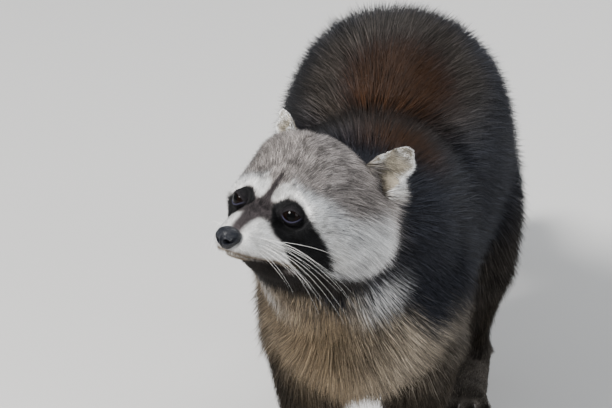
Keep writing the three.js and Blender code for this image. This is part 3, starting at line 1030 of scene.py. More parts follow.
class Skin:
    """The skin's mesh, and what the coat reads from it."""

    made = None

    def __init__(self):
        sizes = settings().skin
        flesh = flesh_surfaces(sizes)
        mesh = remeshed(*flesh[:2], sizes.grain)
        points, edges = points_of(mesh), edges_of(mesh)
        belong = smoothed(nearest_regions(points, *flesh), edges, 30)
        points = self.evened(points, edges, belong)
        move(mesh, points)
        mesh = applied(mesh, "DECIMATE", {"ratio": sizes.kept})
        belong = belong[nearest(points, points_of(mesh))]
        coarse = self.sunk(mesh, belong)
        move(mesh, coarse)
        for centre, half_sizes in FINER:
            refine(mesh, centre, half_sizes)
        points, edges = points_of(mesh), edges_of(mesh)
        self.mesh = mesh
        self.belong = smoothed(belong[nearest(coarse, points)], edges, 3)
        self.points = self.with_face(points, edges)
        self.normals = normals_of(mesh, self.points)

    def evened(self, points, edges, belong):
        """Smooths the joins between the parts, least on the feet and ears."""
        ear = part_of(belong, "ear")
        fine = np.clip(part_of(belong, "foot") + ear, 0, 1)
        points = smoothed(points, edges, 5)
        points = smoothed(points, edges, 70, 0.5 * (1 - smoothstep(fine, 0.2, 0.6)))
        return smoothed(points, edges, 14, 0.5 * smoothstep(ear, 0.2, 0.6))

    def sunk(self, mesh, belong):
        """Sinks the surface in steps by the coat's depth, folds the back, keeps the soles on the floor."""
        points, edges = points_of(mesh), edges_of(mesh)
        depth = mix(belong @ TRAITS[:, DEPTH], head_depth(to_head(points)), part_of(belong, "head"))
        depth = smoothed(depth[:, None], edges, 10)[:, 0]
        for _ in range(SINKING_STEPS):
            points = points - normals_of(mesh, points) * (depth * MM / SINKING_STEPS)[:, None]
            points = smoothed(points, edges, 3, 0.5 * smoothstep(depth, 1.5, 8))
        back = bell(points[:, 1] / MM, CREASE_Y, 26) * smoothstep(points[:, 2] / MM, 205, 240)
        points = smoothed(points, edges, 60, 0.5 * back * part_of(belong, "trunk"))
        points = fold_back(points, normals_of(mesh, points))
        points[:, 2] -= points[:, 2].min() * (1 - smoothstep(points[:, 2], 2 * MM, 9 * MM))
        return points

    def with_face(self, points, edges):
        """Shapes the face, the mouth and the lids."""
        centre, half_sizes = FINER[0]
        around = np.linalg.norm((to_head(points) - centre) / np.array(half_sizes), axis=1)
        points = smoothed(points, edges, 6, 0.5 * (1 - smoothstep(around, 0.9, 1.1)))
        normals = normals_of(self.mesh, points) @ HEAD_AXES
        return from_head(open_eyes(shape_face(to_head(points), normals)))

    def triangles(self):
        self.mesh.calc_loop_triangles()
        return read(self.mesh.loop_triangles, "vertices", 3, np.int32)


def skin():
    if Skin.made is None:
        Skin.made = Skin()
    return Skin.made


# ---------------------------------------------------------------- how the hair grows
def lie_on_face(head):
    """The way the hair lies on the head: back from the muzzle, down in the ruff and out from the eyes."""
    away = unit(head - MUZZLE_START)
    side = np.sign(head[:, :1])
    low = smoothstep(chart(head)[:, 0], 60, 110)[:, None]
    droop = side * (0.45, 0, 0) + (0, 0.62, -0.62)
    face = unit(away + low * (droop - away) * 0.75)
    for which in (1, -1):
        a, b, depth, _ = lid_places(head, which)
        _, _, out, up = eye_axes(which)
        reach = np.hypot(a, b)
        push = 1.5 * (1 - smoothstep(reach, 8, 19)) * (depth > -8)
        face = face + push[:, None] * (a[:, None] * out + b[:, None] * up) / np.maximum(reach, 1)[:, None]
    return unit(face)


def lie_on_ears(head, belong):
    """The way the hair lies on the ears: up and outwards, and fanned across the hollow."""
    side = np.sign(head[:, :1])
    rise = unit(EAR_RISE) * mirrored(side)
    _, _, along_rim = ear_axes()
    fanned = 0.9 * along_rim * mirrored(side) + 0.6 * rise
    return unit(mix(rise + 0.2 * side * (0.9, 0, 0), fanned, ear_hollow(head, belong)[:, None]))


def lie_on_tail(points):
    ways = np.gradient(TAIL_PATH, axis=0)
    path = along_tail(points) * (len(TAIL_PATH) - 1)
    return unit(np.stack([np.interp(path, np.arange(len(TAIL_PATH)), column) for column in ways.T], 1))


# The way the hair lies on the other regions.
LIE = {
    "neck": (0, 0.72, -0.62),
    "trunk": (0, 0.86, -0.44),
    "limb": (0, 0.42, -0.9),
    "shin": (0, 0.2, -0.97),
    "foot": (0, -0.95, -0.3),
}


# Slow waves that bend the lie of the hair: each one's direction and start.
WANDER = (
    ((61.0, 23.0, -37.0), 0.4),
    ((-29.0, 53.0, 41.0), 2.1),
    ((37.0, -31.0, 59.0), 4.4),
)
WANDER_SHARE = 0.16


def lie_of_hair(points, normals, belong):
    """The way the hair lies at each point, along the skin."""
    head = to_head(points)
    on_head = part_of(belong, "head")[:, None]
    flow = on_head * lie_on_face(head) @ HEAD_AXES.T
    flow = flow + part_of(belong, "ear")[:, None] * lie_on_ears(head, belong) @ HEAD_AXES.T
    flow = flow + part_of(belong, "tail")[:, None] * lie_on_tail(points)
    for name, way in LIE.items():
        flow = flow + part_of(belong, name)[:, None] * way
    wander = np.stack([np.sin(points @ wave + start) for wave, start in WANDER], 1)
    flow = unit(flow) + WANDER_SHARE * wander * (1 - 0.6 * on_head)
    return unit(flow - normals * (flow * normals).sum(1, keepdims=True))


def tuft_traits(points, belong):
    """The traits of the tufts at each point, in the order of the regions' own."""
    traits = belong @ TRAITS
    head = to_head(points)
    at = chart(head)
    on = part_of(belong, "head")
    muzzle = 1 - smoothstep(head[:, 1], -16, 8)
    ruff = smoothstep(at[:, 0], 58, 108) * smoothstep(at[:, 1], -75, -40)
    ruff = ruff * (1 - smoothstep(at[:, 1], 30, 62))
    crown = smoothstep(head[:, 1], 4, 36) * smoothstep(head[:, 2], 14, 34)
    face_length = mix(6.0 + 4.5 * crown + 20 * ruff, 3.6, muzzle)
    face_width = mix(0.46 + 0.08 * crown + 0.26 * ruff, 0.42, muzzle)
    face_spacing = mix(0.55 + 0.05 * crown + 0.2 * ruff, 0.54, muzzle)
    lids = np.ones(len(points))
    for side in (1, -1):
        a, b, depth, _ = lid_places(head, side)
        shorter = np.minimum(lids, 0.34 + 0.66 * smoothstep(np.hypot(a, b), 7, 15))
        lids = np.where(depth > -6, shorter, lids)
    face = {
        LENGTH: face_length * lids,
        WIDTH: face_width * (0.6 + 0.4 * lids),
        SPACING: face_spacing * (0.8 + 0.2 * lids),
        RISE: 13 + 9 * ruff,
    }
    for trait, value in face.items():
        traits[:, trait] = mix(traits[:, trait], value, np.clip(on * 1.3, 0, 1))
    _, _, along = ear_place(head)
    at_tip = part_of(belong, "ear") * smoothstep(along, EAR_LENGTH - 22, EAR_LENGTH - 4)
    traits[:, LENGTH] += 5.5 * ear_hollow(head, belong)
    traits[:, LENGTH] *= 1 - 0.2 * at_tip
    under_jaw = (1 - on) * smoothstep(head[:, 2], -84, -62) * (1 - smoothstep(head[:, 1], 60, 110))
    traits[:, LENGTH] *= 1 - 0.62 * under_jaw
    fringe = part_of(belong, "trunk") * (1 - smoothstep(points[:, 2] / MM, 96, 132))
    traits[:, LENGTH] *= 1 + 0.55 * fringe * (1 - smoothstep(points[:, 1] / MM, -190, -160))
    before_fold = bell(points[:, 1] / MM, -131, 9) * smoothstep(points[:, 2] / MM, 236, 268)
    traits[:, LENGTH] *= 1 - 0.4 * before_fold
    return traits


BARE_NOSE = (9.7, 8.4, 9.0)  # half-sizes of the place that the nose's leather covers, in millimetres


def bare_share(points, normals, belong):
    """1 where no hair grows: in the eyes' openings, under the nose, in the mouth and on the soles."""
    head = to_head(points)
    bare = np.zeros(len(points))
    for side in (1, -1):
        _, _, depth, ring = lid_places(head, side)
        bare = np.maximum(bare, (ring < 1.07) & (depth > -4))
    nose = np.linalg.norm((head - NOSE_CENTRE) / BARE_NOSE, axis=1)
    bare = np.maximum(bare, nose < 1.0)
    gap = np.abs(head[:, 2] - mouth_level(head[:, 1]))
    bare = np.maximum(bare, (gap < 0.5) & (head[:, 1] < 4) & (part_of(belong, "head") > 0.5))
    sole = (points[:, 2] < 6 * MM) & (normals[:, 2] < -0.4)
    return np.maximum(bare, sole)


# The unwrap: each region has a tile, on which its own shape is opened out.
TILES = {
    "trunk": (0.02, 0.02, 0.98, 0.46),
    "head": (0.02, 0.50, 0.40, 0.98),
    "tail": (0.42, 0.50, 0.72, 0.72),
    "limb": (0.42, 0.74, 0.98, 0.86),
    "foot": (0.42, 0.88, 0.98, 0.98),
    "ear": (0.74, 0.50, 0.98, 0.72),
}
TILE_OF = {"neck": "trunk", "shin": "limb"}


def unwrapped(points, belong):
    """Each point's place on an unwrap of the skin."""
    x, y, z = (points / MM).T
    head = to_head(points)
    places = np.zeros((len(points), 2))
    region = belong.argmax(1)
    leg = (x > 0) * 0.5 + (y > 0) * 0.25
    path = along_tail(points)
    middle = np.stack([np.interp(path, np.linspace(0, 1, len(TAIL_PATH)), c) for c in TAIL_PATH.T], 1)
    across, ahead, along = ear_place(head)
    leg_x = np.where(x > 0, 1, -1) * np.where(y > 0, 60, 42)
    leg_y = np.where(y > 0, 40, -175)
    turn = np.arctan2(x - leg_x, y - leg_y) / (2 * np.pi) + 0.5
    away = head - (0, 38, -12)
    opened = {
        "trunk": (np.arctan2(x, z - 190) / (2 * np.pi) + 0.5, np.clip((y + 290) / 460, 0, 1)),
        "head": (
            np.arctan2(away[:, 0], -away[:, 1]) / (2 * np.pi) + 0.5,
            0.5 + 0.5 * away[:, 2] / np.maximum(np.linalg.norm(away, axis=1), 1),
        ),
        "tail": (np.arctan2(x - middle[:, 0], z - middle[:, 2]) / (2 * np.pi) + 0.5, path),
        "limb": (leg + 0.24 * turn, np.clip(z / 240, 0, 1)),
        "foot": (leg + 0.24 * np.clip((x - leg_x) / 70 + 0.5, 0, 1), np.clip((y - leg_y + 75) / 130, 0, 1)),
        "ear": (
            (head[:, 0] > 0) * 0.5 + 0.24 * (ahead > -9) + np.clip(across / 160 + 0.12, 0, 0.24),
            along / 60,
        ),
    }
    for i, name in enumerate(NAMES):
        tile = TILE_OF.get(name, name)
        u, v = opened[tile]
        left, low, right, high = TILES[tile]
        here = region == i
        places[here, 0] = mix(left, right, np.clip(u[here], 0, 1))
        places[here, 1] = mix(low, high, np.clip(v[here], 0, 1))
    return places


PATCH = 0.003  # width of a tuft's patch on the unwrap
ROOT_DEPTH = 0.5 * MM  # a tuft starts this far under the skin
# Where the pieces of the coat meet, in millimetres: the first two on the head's axes, the others along Y.
FACE_END = 12  # the face's coat reaches this far back
CHEEK_TOP = -6  # the cheeks' coat lies under this height, behind the face
TRUNK_CUTS = (-110, 0)  # between the trunk's three pieces
LEG_CUT = -40  # forelegs lie ahead of this


def coat_parts(points, belong):
    """The name of the piece of coat that each place grows."""
    region = np.array(NAMES)[belong.argmax(1)]
    across, back, up = to_head(points).T
    y = points[:, 1] / MM
    head, trunk, leg = region == "head", region == "trunk", np.isin(region, ("limb", "shin"))
    face, left = head & (back < FACE_END), across > 0
    cases = {
        "coat_face_left": face & left,
        "coat_face_right": face & ~left,
        "coat_cheeks": head & (up < CHEEK_TOP),
        "coat_crown": head,
        "coat_trunk_1": trunk & (y < TRUNK_CUTS[0]),
        "coat_trunk_2": trunk & (y < TRUNK_CUTS[1]),
        "coat_trunk_3": trunk,
        "coat_forelegs": leg & (points[:, 1] < LEG_CUT * MM),
        "coat_hind_legs": leg,
        "coat_neck": region == "neck",
        "coat_tail": region == "tail",
        "coat_ears": region == "ear",
        "coat_feet": region == "foot",
    }
    return np.select(list(cases.values()), list(cases), "")


def roots(name, dice):
    """Spreads a piece's roots over the skin, as dense as the spacing there asks."""
    s = skin()
    tris = s.triangles()
    a, b, c = (s.points[tris[:, i]] for i in range(3))
    area = np.linalg.norm(np.cross(b - a, c - a), axis=1) / 2 / MM**2
    middle = (a + b + c) / 3
    belong = s.belong[tris].mean(1)
    normals = unit(s.normals[tris].mean(1))
    wanted = area / tuft_traits(middle, belong)[:, SPACING] ** 2 * settings().coat.fineness
    wanted = wanted * (coat_parts(middle, belong) == name) * (1 - bare_share(middle, normals, belong))
    total = np.cumsum(wanted)
    count = int(total[-1])
    if not count:
        raise RuntimeError(f"{name} has no skin to grow on")
    picks = (np.arange(count) + dice.random(count)) / count * total[-1]
    index = np.minimum(np.searchsorted(total, picks), len(tris) - 1)
    u, v = dice.random((2, count, 1))
    flip = (u + v > 1)[:, 0]
    u[flip], v[flip] = 1 - u[flip], 1 - v[flip]
    first, second, third = tris[index].T

    def between(values):
        return values[first] * (1 - u - v) + values[second] * u + values[third] * v

    return between(s.points), unit(between(s.normals)), between(s.belong)


CLUMP = 9  # tufts that lean towards one of them


def clumped(points, tips, share, dice):
    """Leans the tips of neighbouring tufts together."""
    if not share:
        return tips
    count = max(int(len(points) / CLUMP), 1)
    chosen = dice.choice(len(points), count, replace=False)
    owner = chosen[nearest(points[chosen], points)]
    offset = tips - points
    return tips + share * ((points[owner] - points) * 0.9 + (offset[owner] - offset) * 0.5)


# A tuft is three corners round its root and a tip. These are its triangles, the turns of its corners about
# the root, and the places of all four on its patch of the unwrap.
TUFT = np.array([(0, 2, 1), (0, 1, 3), (1, 2, 3), (2, 0, 3)])
TUFT_TURNS = (0.25, 0.25 + 1 / 3, 0.25 + 2 / 3)
TUFT_PATCH = np.array([(-0.5, -0.5), (0.0, -0.5), (0.5, -0.5), (0.0, 0.5)])
SPREAD, STRAY_RISE = 4, 7  # how far the tufts' rises vary, and how much further strays rise, in degrees
SIDEWAYS = 0.13  # how far tufts lean sideways, as a share of their length
STRAYS = 0.04  # share of the tufts that stand off the others
LOWEST_TIP, LOWEST_ROOT = 0.8 * MM, 0.9 * MM  # above the floor


def coat_piece(name, slot, clump=None):
    """Grows one piece of the coat: closed straight tufts, each with its own patch of the unwrap."""
    dice = np.random.default_rng(settings().coat.seed + sum(map(ord, name)))
    at, normals, belong = roots(name, dice)
    count = len(at)
    traits = tuft_traits(at, belong)
    flow = lie_of_hair(at, normals, belong)
    chance = dice.random((count, 3))
    size = (traits[:, LENGTH] * MM * (0.72 + 0.5 * dice.random(count)))[:, None]
    stray = dice.random(count) < STRAYS
    _, lift, lean, _ = dice.standard_normal((4, count))  # two spare rows keep the order of the draws
    rise = np.radians(traits[:, RISE] + SPREAD * lift + STRAY_RISE * stray)[:, None]
    side = np.cross(normals, flow)
    way = flow * np.cos(rise) + normals * np.sin(rise) + side * (SIDEWAYS * lean)[:, None]
    free = at + size * way - (0, 0, 1) * size * 0.05
    tip = clumped(at, free, settings().coat.clump if clump is None else clump, dice)
    tip[:, 2] = np.maximum(tip[:, 2], LOWEST_TIP)
    start = at - normals * ROOT_DEPTH
    start[:, 2] = np.maximum(start[:, 2], LOWEST_ROOT)
    half = traits[:, WIDTH, None] * MM * 0.5 * (0.8 + 0.4 * chance[:, 2:])
    corners = [
        start + half * (side * math.cos(2 * math.pi * turn) + normals * 0.75 * math.sin(2 * math.pi * turn))
        for turn in TUFT_TURNS
    ]
    points = np.stack([*corners, tip], 1).reshape(-1, 3)
    faces = (TUFT[None] + (np.arange(count) * 4)[:, None, None]).reshape(-1, 3)
    mesh = mesh_from(name, points, faces)
    root_colour, _ = coat_colours(at + flow * size * 0.4, belong, chance)
    _, tip_colour = coat_colours(at + flow * size * 0.85, belong, chance)
    give_colours(mesh, "coat_root", np.repeat(root_colour, 4, 0))
    give_colours(mesh, "coat_tip", np.repeat(tip_colour, 4, 0))
    give_floats(mesh, "along", np.tile((0.0, 0.0, 0.0, 1.0), count))
    place = np.repeat(unwrapped(at, belong), 4, 0) + PATCH * np.tile(TUFT_PATCH, (count, 1))
    layer = mesh.uv_layers.new(name="OFBake")
    layer.data.foreach_set("uv", place[faces.ravel()].astype(np.float32).ravel())
    finish_piece(show(name, mesh, bpy.data.materials.get("coat") or coat_shader()), slot)
    print(name, len(faces), "triangles")


# ---------------------------------------------------------------- eyes, nose, claws, whiskers
def ball(rows, columns):
    """Directions on a sphere about the last axis, with a single point at each pole, and its triangles."""
    polar = np.linspace(0, np.pi, rows + 2)[1:-1]
    p, t = np.meshgrid(polar, round_turn(columns), indexing="ij")
    points = np.stack([np.sin(p) * np.cos(t), np.sin(p) * np.sin(t), np.cos(p)], -1).reshape(-1, 3)
    return np.concatenate([points, [(0, 0, -1), (0, 0, 1)]]), capped_faces(rows, columns, True)


def eye_shader():
    s = Shader("eye", Roughness=0.06, Specular_IOR_Level=0.07)
    off = s.attribute("off_axis")
    face = settings().face
    fibres = s.noise(700.0)
    iris = s.blend(s.step(fibres, 0.3, 0.75), rgba(np.array(face.iris) * 0.45), rgba(face.iris))
    pupil = s.step(off, 0.38, 0.46)
    seen = s.blend(pupil, rgba((0.001, 0.001, 0.001)), iris)
    seen = s.blend(s.step(off, 0.80, 0.93), seen, rgba((0.006, 0.004, 0.004)))
    s.link("Base Color", seen)
    return s.material


def eye_mesh(side):
    """An eyeball with the cornea standing a little proud of it."""
    ways, faces = ball(40, 64)
    centre, gaze, out, up = eye_axes(side)
    off = np.arccos(np.clip(ways[:, 2], -1, 1))
    size = EYE_RADIUS + 0.5 * np.clip(np.cos(off) - 0.55, 0, 1) ** 1.2
    local = centre + size[:, None] * (ways[:, :1] * out + ways[:, 1:2] * up + ways[:, 2:] * gaze)
    if np.linalg.det(np.stack([out, up, gaze])) < 0:
        faces = faces[:, ::-1]
    mesh = mesh_from("eye", from_head(local), faces)
    give_floats(mesh, "off_axis", off)
    return mesh


def nose_shader():
    s = Shader("nose", Roughness=0.25, Specular_IOR_Level=0.14)
    pattern = {"Vector": s.place(), "Scale": 1900.0}
    edges = s.out(s.node("TexVoronoi", {"feature": "DISTANCE_TO_EDGE"}, pattern))
    pebbles = s.step(edges, 0.0, 0.22)
    leather = np.array(settings().face.nose)
    s.link("Base Color", s.blend(s.noise(300.0), rgba(leather), rgba(leather * 2.4)))
    s.bump(pebbles * 0.7 + s.noise(500.0) * 0.3, 0.0001)
    return s.material


NOSE_HALF_SIZES = (9.6, 8.6, 9.0)  # across, along and up, in millimetres
NOSTRIL_HOLE = ((4.0, -2.0), (2.3, 1.9))  # middle and half-sizes, across and up from the nose's middle
# The slit that runs from each nostril, outwards and up, as places across and up from the nose's middle.
NOSTRIL = ((4.0, -2.4), (6.0, -2.6), (7.6, -1.4), (8.6, 1.2))


def nose_mesh():
    """The nose's leather: two rounded wings, comma-shaped nostrils and the groove between them."""
    ways, faces = ball(90, 120)
    ways = ways[:, (0, 2, 1)] * (1, -1, 1)
    across, ahead, up = (ways * NOSE_HALF_SIZES).T
    front = smoothstep(-ways[:, 1], 0.0, 0.5)
    away = np.abs(across)
    narrow = 1 - 0.42 * smoothstep(-up, -1, 9)
    hole = from_middle(away, up, NOSTRIL_HOLE)
    slit = np.full(len(away), 9.0)
    for (x0, z0), (x1, z1) in zip(NOSTRIL, NOSTRIL[1:]):
        span = np.array((x1 - x0, z1 - z0))
        t = np.clip(((away - x0) * span[0] + (up - z0) * span[1]) / (span @ span), 0, 1)
        slit = np.minimum(slit, np.hypot(away - x0 - t * span[0], up - z0 - t * span[1]))
    pit = 3.6 * (1 - smoothstep(hole, 0.5, 1.1)) + 1.5 * (1 - smoothstep(slit, 0.3, 1.0))
    rim = 0.5 * bell(np.minimum(hole, slit + 0.35), 1.4, 0.3)
    groove = 1.1 * bell(across, 0, 0.7) * smoothstep(-up, -2.5, 1.5)
    flat = 0.9 * smoothstep(up, 4.0, 8.5)
    depth = (pit - rim + groove) * front - flat * smoothstep(-ways[:, 1], -0.2, 0.4)
    local = np.stack([across * narrow, ahead + depth, up - flat], 1)
    return mesh_from("nose", from_head(local + NOSE_CENTRE), faces[:, ::-1])


def claw_shader():
    s = Shader("claw", Roughness=0.38, Specular_IOR_Level=0.5)
    streaks = s.noise(500.0)
    base = np.array(settings().face.claw)
    s.link("Base Color", s.blend(streaks, rgba(base * 0.5), rgba(base * 1.6)))
    s.bump(streaks, 0.0001)
    return s.material


CLAW_RINGS, CLAW_RING_POINTS = 12, 14
CLAW_HALF_WIDTH = 1.75  # at the root, in millimetres
CLAW_ARCH = 1.9  # how far the curve of a claw is drawn up, in millimetres


def claw_meshes():
    """Every claw as a curved horn from its toe to its tip."""
    points, faces = [], []
    s = np.linspace(0, 1, CLAW_RINGS)[:, None]
    turn = round_turn(CLAW_RING_POINTS)
    wide = CLAW_HALF_WIDTH * MM * (1 - 0.93 * s**1.3)
    for name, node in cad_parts.items():
        if "_claw_" not in name:
            continue
        made = points_of(node.data)
        tip = made[np.argmin(made[:, 1] + 0.4 * made[:, 2])]
        away = np.linalg.norm(made - tip, axis=1)
        root = made[away > 0.72 * away.max()].mean(0)
        root = root + (root - tip) * 0.1
        way = unit(tip - root)
        side = unit(np.cross(way, (0, 0, 1)))
        up = np.cross(side, way)
        arch = root + (tip - root) * 0.55 + up * CLAW_ARCH * MM
        middle = root * (1 - s) ** 2 + arch * 2 * s * (1 - s) + tip * s**2
        ring = np.cos(turn)[None, :, None] * side * 0.8 + np.sin(turn)[None, :, None] * up * 1.15
        body = (middle[:, None] + wide[:, None] * ring).reshape(-1, 3)
        faces.append(capped_faces(CLAW_RINGS, CLAW_RING_POINTS) + sum(map(len, points)))
        points.append(np.concatenate([body, middle[-1:], middle[:1]]))
    return mesh_from("claws", np.concatenate(points), np.concatenate(faces)[:, ::-1])


WHISKER_ROWS, WHISKER_COLUMNS, WHISKER_POINTS = 4, 5, 14
WHISKER_RADIUS = 0.095  # at the root, in millimetres
RIGHT_WHISKERS = 0.85  # length of the right side's, as a share of the left side's


def whisker_lines():
    """Paths of the whiskers, as the points and edges of a mesh, with a thickness at each point."""
    dice = np.random.default_rng(SEED)
    surface = surface_tree(skin().points, skin().triangles())
    s = np.linspace(0, 1, WHISKER_POINTS)[:, None]
    points, edges = [], []
    for which, row, column in np.ndindex(2, WHISKER_ROWS, WHISKER_COLUMNS):
        side = 1 - 2 * which
        y = -27 + 4.6 * column + dice.normal(0, 0.6)
        z = -15.5 - 3.3 * row - 0.7 * column + dice.normal(0, 0.5)
        root = skin_point(surface, (side * 60, y, z), (0, y, z))
        long = (38 + 8 * column) * (0.7 + 0.45 * dice.random()) * (1 - 0.06 * row)
        long = long * (1 if side > 0 else RIGHT_WHISKERS)
        way = unit((side * 0.75, 0.35 + 0.10 * column, 0.02 - 0.14 * row + dice.normal(0, 0.06)))
        sag = np.array((-side * 0.12, 0.25, -0.55)) * long * (0.5 + 0.7 * dice.random())
        first = len(points) * WHISKER_POINTS
        points.append(root + way * long * s + sag * s**2 - way * 0.6)
        edges += [(first + k, first + k + 1) for k in range(WHISKER_POINTS - 1)]
    thick = np.tile(WHISKER_RADIUS * (1 - 0.85 * s[:, 0]), len(points)) * MM
    return from_head(np.concatenate(points)), edges, thick


def skin_point(surface, start, toward):
    """Where a line from outside meets the skin, on the head's axes."""
    a, b = from_head(start), from_head(toward)
    place, *_ = surface.ray_cast(Vector(a), Vector(unit(b - a)))
    if place is None:
        raise RuntimeError("a whisker's line misses the skin")
    return to_head(np.array(place)[None])[0]


class Nodes:
    """A geometry tree with named inputs."""

    def __init__(self, name):
        self.tree = bpy.data.node_groups.new(name, "GeometryNodeTree")
        self.tree.interface.new_socket("Geometry", in_out="INPUT", socket_type="NodeSocketGeometry")
        self.tree.interface.new_socket("Geometry", in_out="OUTPUT", socket_type="NodeSocketGeometry")
        self.sockets = {}

    def input(self, name, kind):
        made = self.tree.interface.new_socket(name, in_out="INPUT", socket_type="NodeSocket" + kind)
        self.sockets[name] = made.identifier

    def grown(self, mesh, values):
        """The mesh that the tree makes of a mesh, with the values given to its named inputs."""
        inputs = {self.sockets[name]: value for name, value in values.items()}
        made = applied(mesh, "NODES", {"node_group": self.tree}, inputs)
        smooth_shaded(made)
        return made

    def node(self, kind, choices=None, values=None):
        made = self.tree.nodes.new(kind)
        for key, choice in (choices or {}).items():
            setattr(made, key, choice)
        for key, value in (values or {}).items():
            if isinstance(value, bpy.types.NodeSocket):
                self.tree.links.new(value, made.inputs[key])
            else:
                made.inputs[key].default_value = value
        return made


def whisker_tree():
    """Turns lines into tapering hairs."""
    t = Nodes("whiskers")
    t.input("Sides", "Int")
    t.input("Material", "Material")
    start = t.node("NodeGroupInput")
    lines = t.node("GeometryNodeMeshToCurve", None, {"Mesh": start.outputs["Geometry"]})
    thick = t.node("GeometryNodeInputNamedAttribute", {"data_type": "FLOAT"}, {"Name": "thick"})
    circle = {"Resolution": start.outputs["Sides"], "Radius": 1.0}
    ring = t.node("GeometryNodeCurvePrimitiveCircle", None, circle)
    tube = {
        "Curve": lines.outputs[0],
        "Profile Curve": ring.outputs[0],
        "Scale": thick.outputs["Attribute"],
        "Fill Caps": True,
    }
    tubes = t.node("GeometryNodeCurveToMesh", None, tube)
    real = t.node("GeometryNodeRealizeInstances", None, {"Geometry": tubes.outputs[0]})
    finish = {"Geometry": real.outputs[0], "Material": start.outputs["Material"]}
    finished = t.node("GeometryNodeSetMaterial", None, finish)
    t.node("NodeGroupOutput", None, {"Geometry": finished.outputs[0]})
    return t


# ---------------------------------------------------------------- operators
MOUTH = np.array((0.012, 0.009, 0.009))  # the colour of the line between the lips


def skin_colours(s):
    """The colour of the skin: darker than its hair, with the eyes' rims and the line of the mouth."""
    root, tip = coat_colours(s.points, s.belong, np.full((len(s.points), 3), 0.5))
    fine = part_of(s.belong, "foot") + 0.6 * part_of(s.belong, "head")
    seen = mixed(root * 0.8, mix(root, tip, 0.55), np.clip(fine, 0, 1))
    head = to_head(s.points)
    for side in (1, -1):
        _, up, depth, ring = lid_places(head, side)
        rim = (1 - smoothstep(ring, 1.3, 1.5)) * (depth > -4)
        seen = mixed(seen, np.array(settings().face.lash), rim)
        lower = rim * (1 - smoothstep(up, -2.2, 0.4)) * (1 - smoothstep(ring, 1.08, 1.18))
        seen = mixed(seen, np.array(settings().face.lid), lower)
    gap = np.abs(head[:, 2] - mouth_level(head[:, 1]))
    mouth = (1 - smoothstep(gap, 0.5, 1.4)) * (head[:, 1] < 8) * part_of(s.belong, "head")
    return mixed(seen, MOUTH, np.clip(mouth, 0, 1))


class RACCOON_OT_skin(bpy.types.Operator):
    """Make one skin of the head, neck, trunk, tail and legs"""

    bl_idname = "raccoon.skin"
    bl_label = "Skin"

    def execute(self, context):
        Skin.made = None
        s = skin()
        give_colours(s.mesh, "coat_root", skin_colours(s))
        smooth_shaded(s.mesh)
        piece = show("skin", s.mesh, skin_shader())
        finish_piece(piece, "body_fur", *[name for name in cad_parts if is_flesh(name)])
        print("skin", len(s.mesh.polygons), "faces")
        return {"FINISHED"}


class RACCOON_OT_coat_head(bpy.types.Operator):
    """Grow the hair of the face, crown, cheeks and ears"""

    bl_idname = "raccoon.coat_head"
    bl_label = "Head's coat"

    def execute(self, context):
        coat_piece("coat_face_left", "face_fur", 0.12)
        coat_piece("coat_face_right", "face_fur", 0.12)
        coat_piece("coat_crown", "face_fur", 0.2)
        coat_piece("coat_cheeks", "face_fur", 0.4)
        coat_piece("coat_ears", "ear_fur", 0.1)
        return {"FINISHED"}


class RACCOON_OT_coat_body(bpy.types.Operator):
    """Grow the hair of the neck and trunk"""

    bl_idname = "raccoon.coat_body"
    bl_label = "Body's coat"

    def execute(self, context):
        for name in ("coat_neck", "coat_trunk_1", "coat_trunk_2", "coat_trunk_3"):
            coat_piece(name, "body_fur")
        return {"FINISHED"}


class RACCOON_OT_coat_legs(bpy.types.Operator):
    """Grow the hair of the legs and feet"""

    bl_idname = "raccoon.coat_legs"
    bl_label = "Legs' coat"

    def execute(self, context):
        coat_piece("coat_forelegs", "body_fur")
        coat_piece("coat_hind_legs", "body_fur")
        coat_piece("coat_feet", "foot_fur", 0.1)
        return {"FINISHED"}


class RACCOON_OT_coat_tail(bpy.types.Operator):
    """Grow the ringed hair of the tail"""

    bl_idname = "raccoon.coat_tail"
    bl_label = "Tail's coat"

    def execute(self, context):
        coat_piece("coat_tail", "tail_fur")
        return {"FINISHED"}


class RACCOON_OT_eyes(bpy.types.Operator):
    """Make both eyes"""

    bl_idname = "raccoon.eyes"
    bl_label = "Eyes"

    def execute(self, context):
        material = eye_shader()
        for side, name in ((1, "left"), (-1, "right")):
            finish_piece(show("eyeball_" + name, eye_mesh(side), material), "eye", "eye_" + name)
        return {"FINISHED"}


class RACCOON_OT_nose(bpy.types.Operator):
    """Make the nose"""

    bl_idname = "raccoon.nose"
    bl_label = "Nose"

    def execute(self, context):
        finish_piece(show("nose_leather", nose_mesh(), nose_shader()), "nose", "nose")
        return {"FINISHED"}


class RACCOON_OT_claws(bpy.types.Operator):
    """Make the claws of all four feet"""

    bl_idname = "raccoon.claws"
    bl_label = "Claws"

    def execute(self, context):
        nodes = [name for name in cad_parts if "_claw_" in name]
        finish_piece(show("claws", claw_meshes(), claw_shader()), "claw", *nodes)
        return {"FINISHED"}


class RACCOON_OT_whiskers(bpy.types.Operator):
    """Make the whiskers"""

    bl_idname = "raccoon.whiskers"
    bl_label = "Whiskers"

    def execute(self, context):
        points, edges, thick = whisker_lines()
        lines = bpy.data.meshes.new("whisker_lines")
        lines.from_pydata([tuple(p) for p in points], edges, [])
        give_floats(lines, "thick", thick)
        material = plain("whisker", settings().face.whisker, 0.35)
        made = whisker_tree().grown(lines, {"Sides": 5, "Material": material})
        finish_piece(show("whiskers", made), "face_fur")
        return {"FINISHED"}


# ---------------------------------------------------------------- stage
CAMERA_TURN, CAMERA_RISE, CAMERA_AWAY = 9.0, 20.0, 3.0  # degrees and metres
PICTURE = np.array((612, 408))  # pixels
HEAD_AT = (266.2, 207.4)  # where the head's origin falls, in pixels from the picture's upper left corner
SCALE = 1.39  # pixels for a millimetre at the animal's head
SENSOR = 36.0

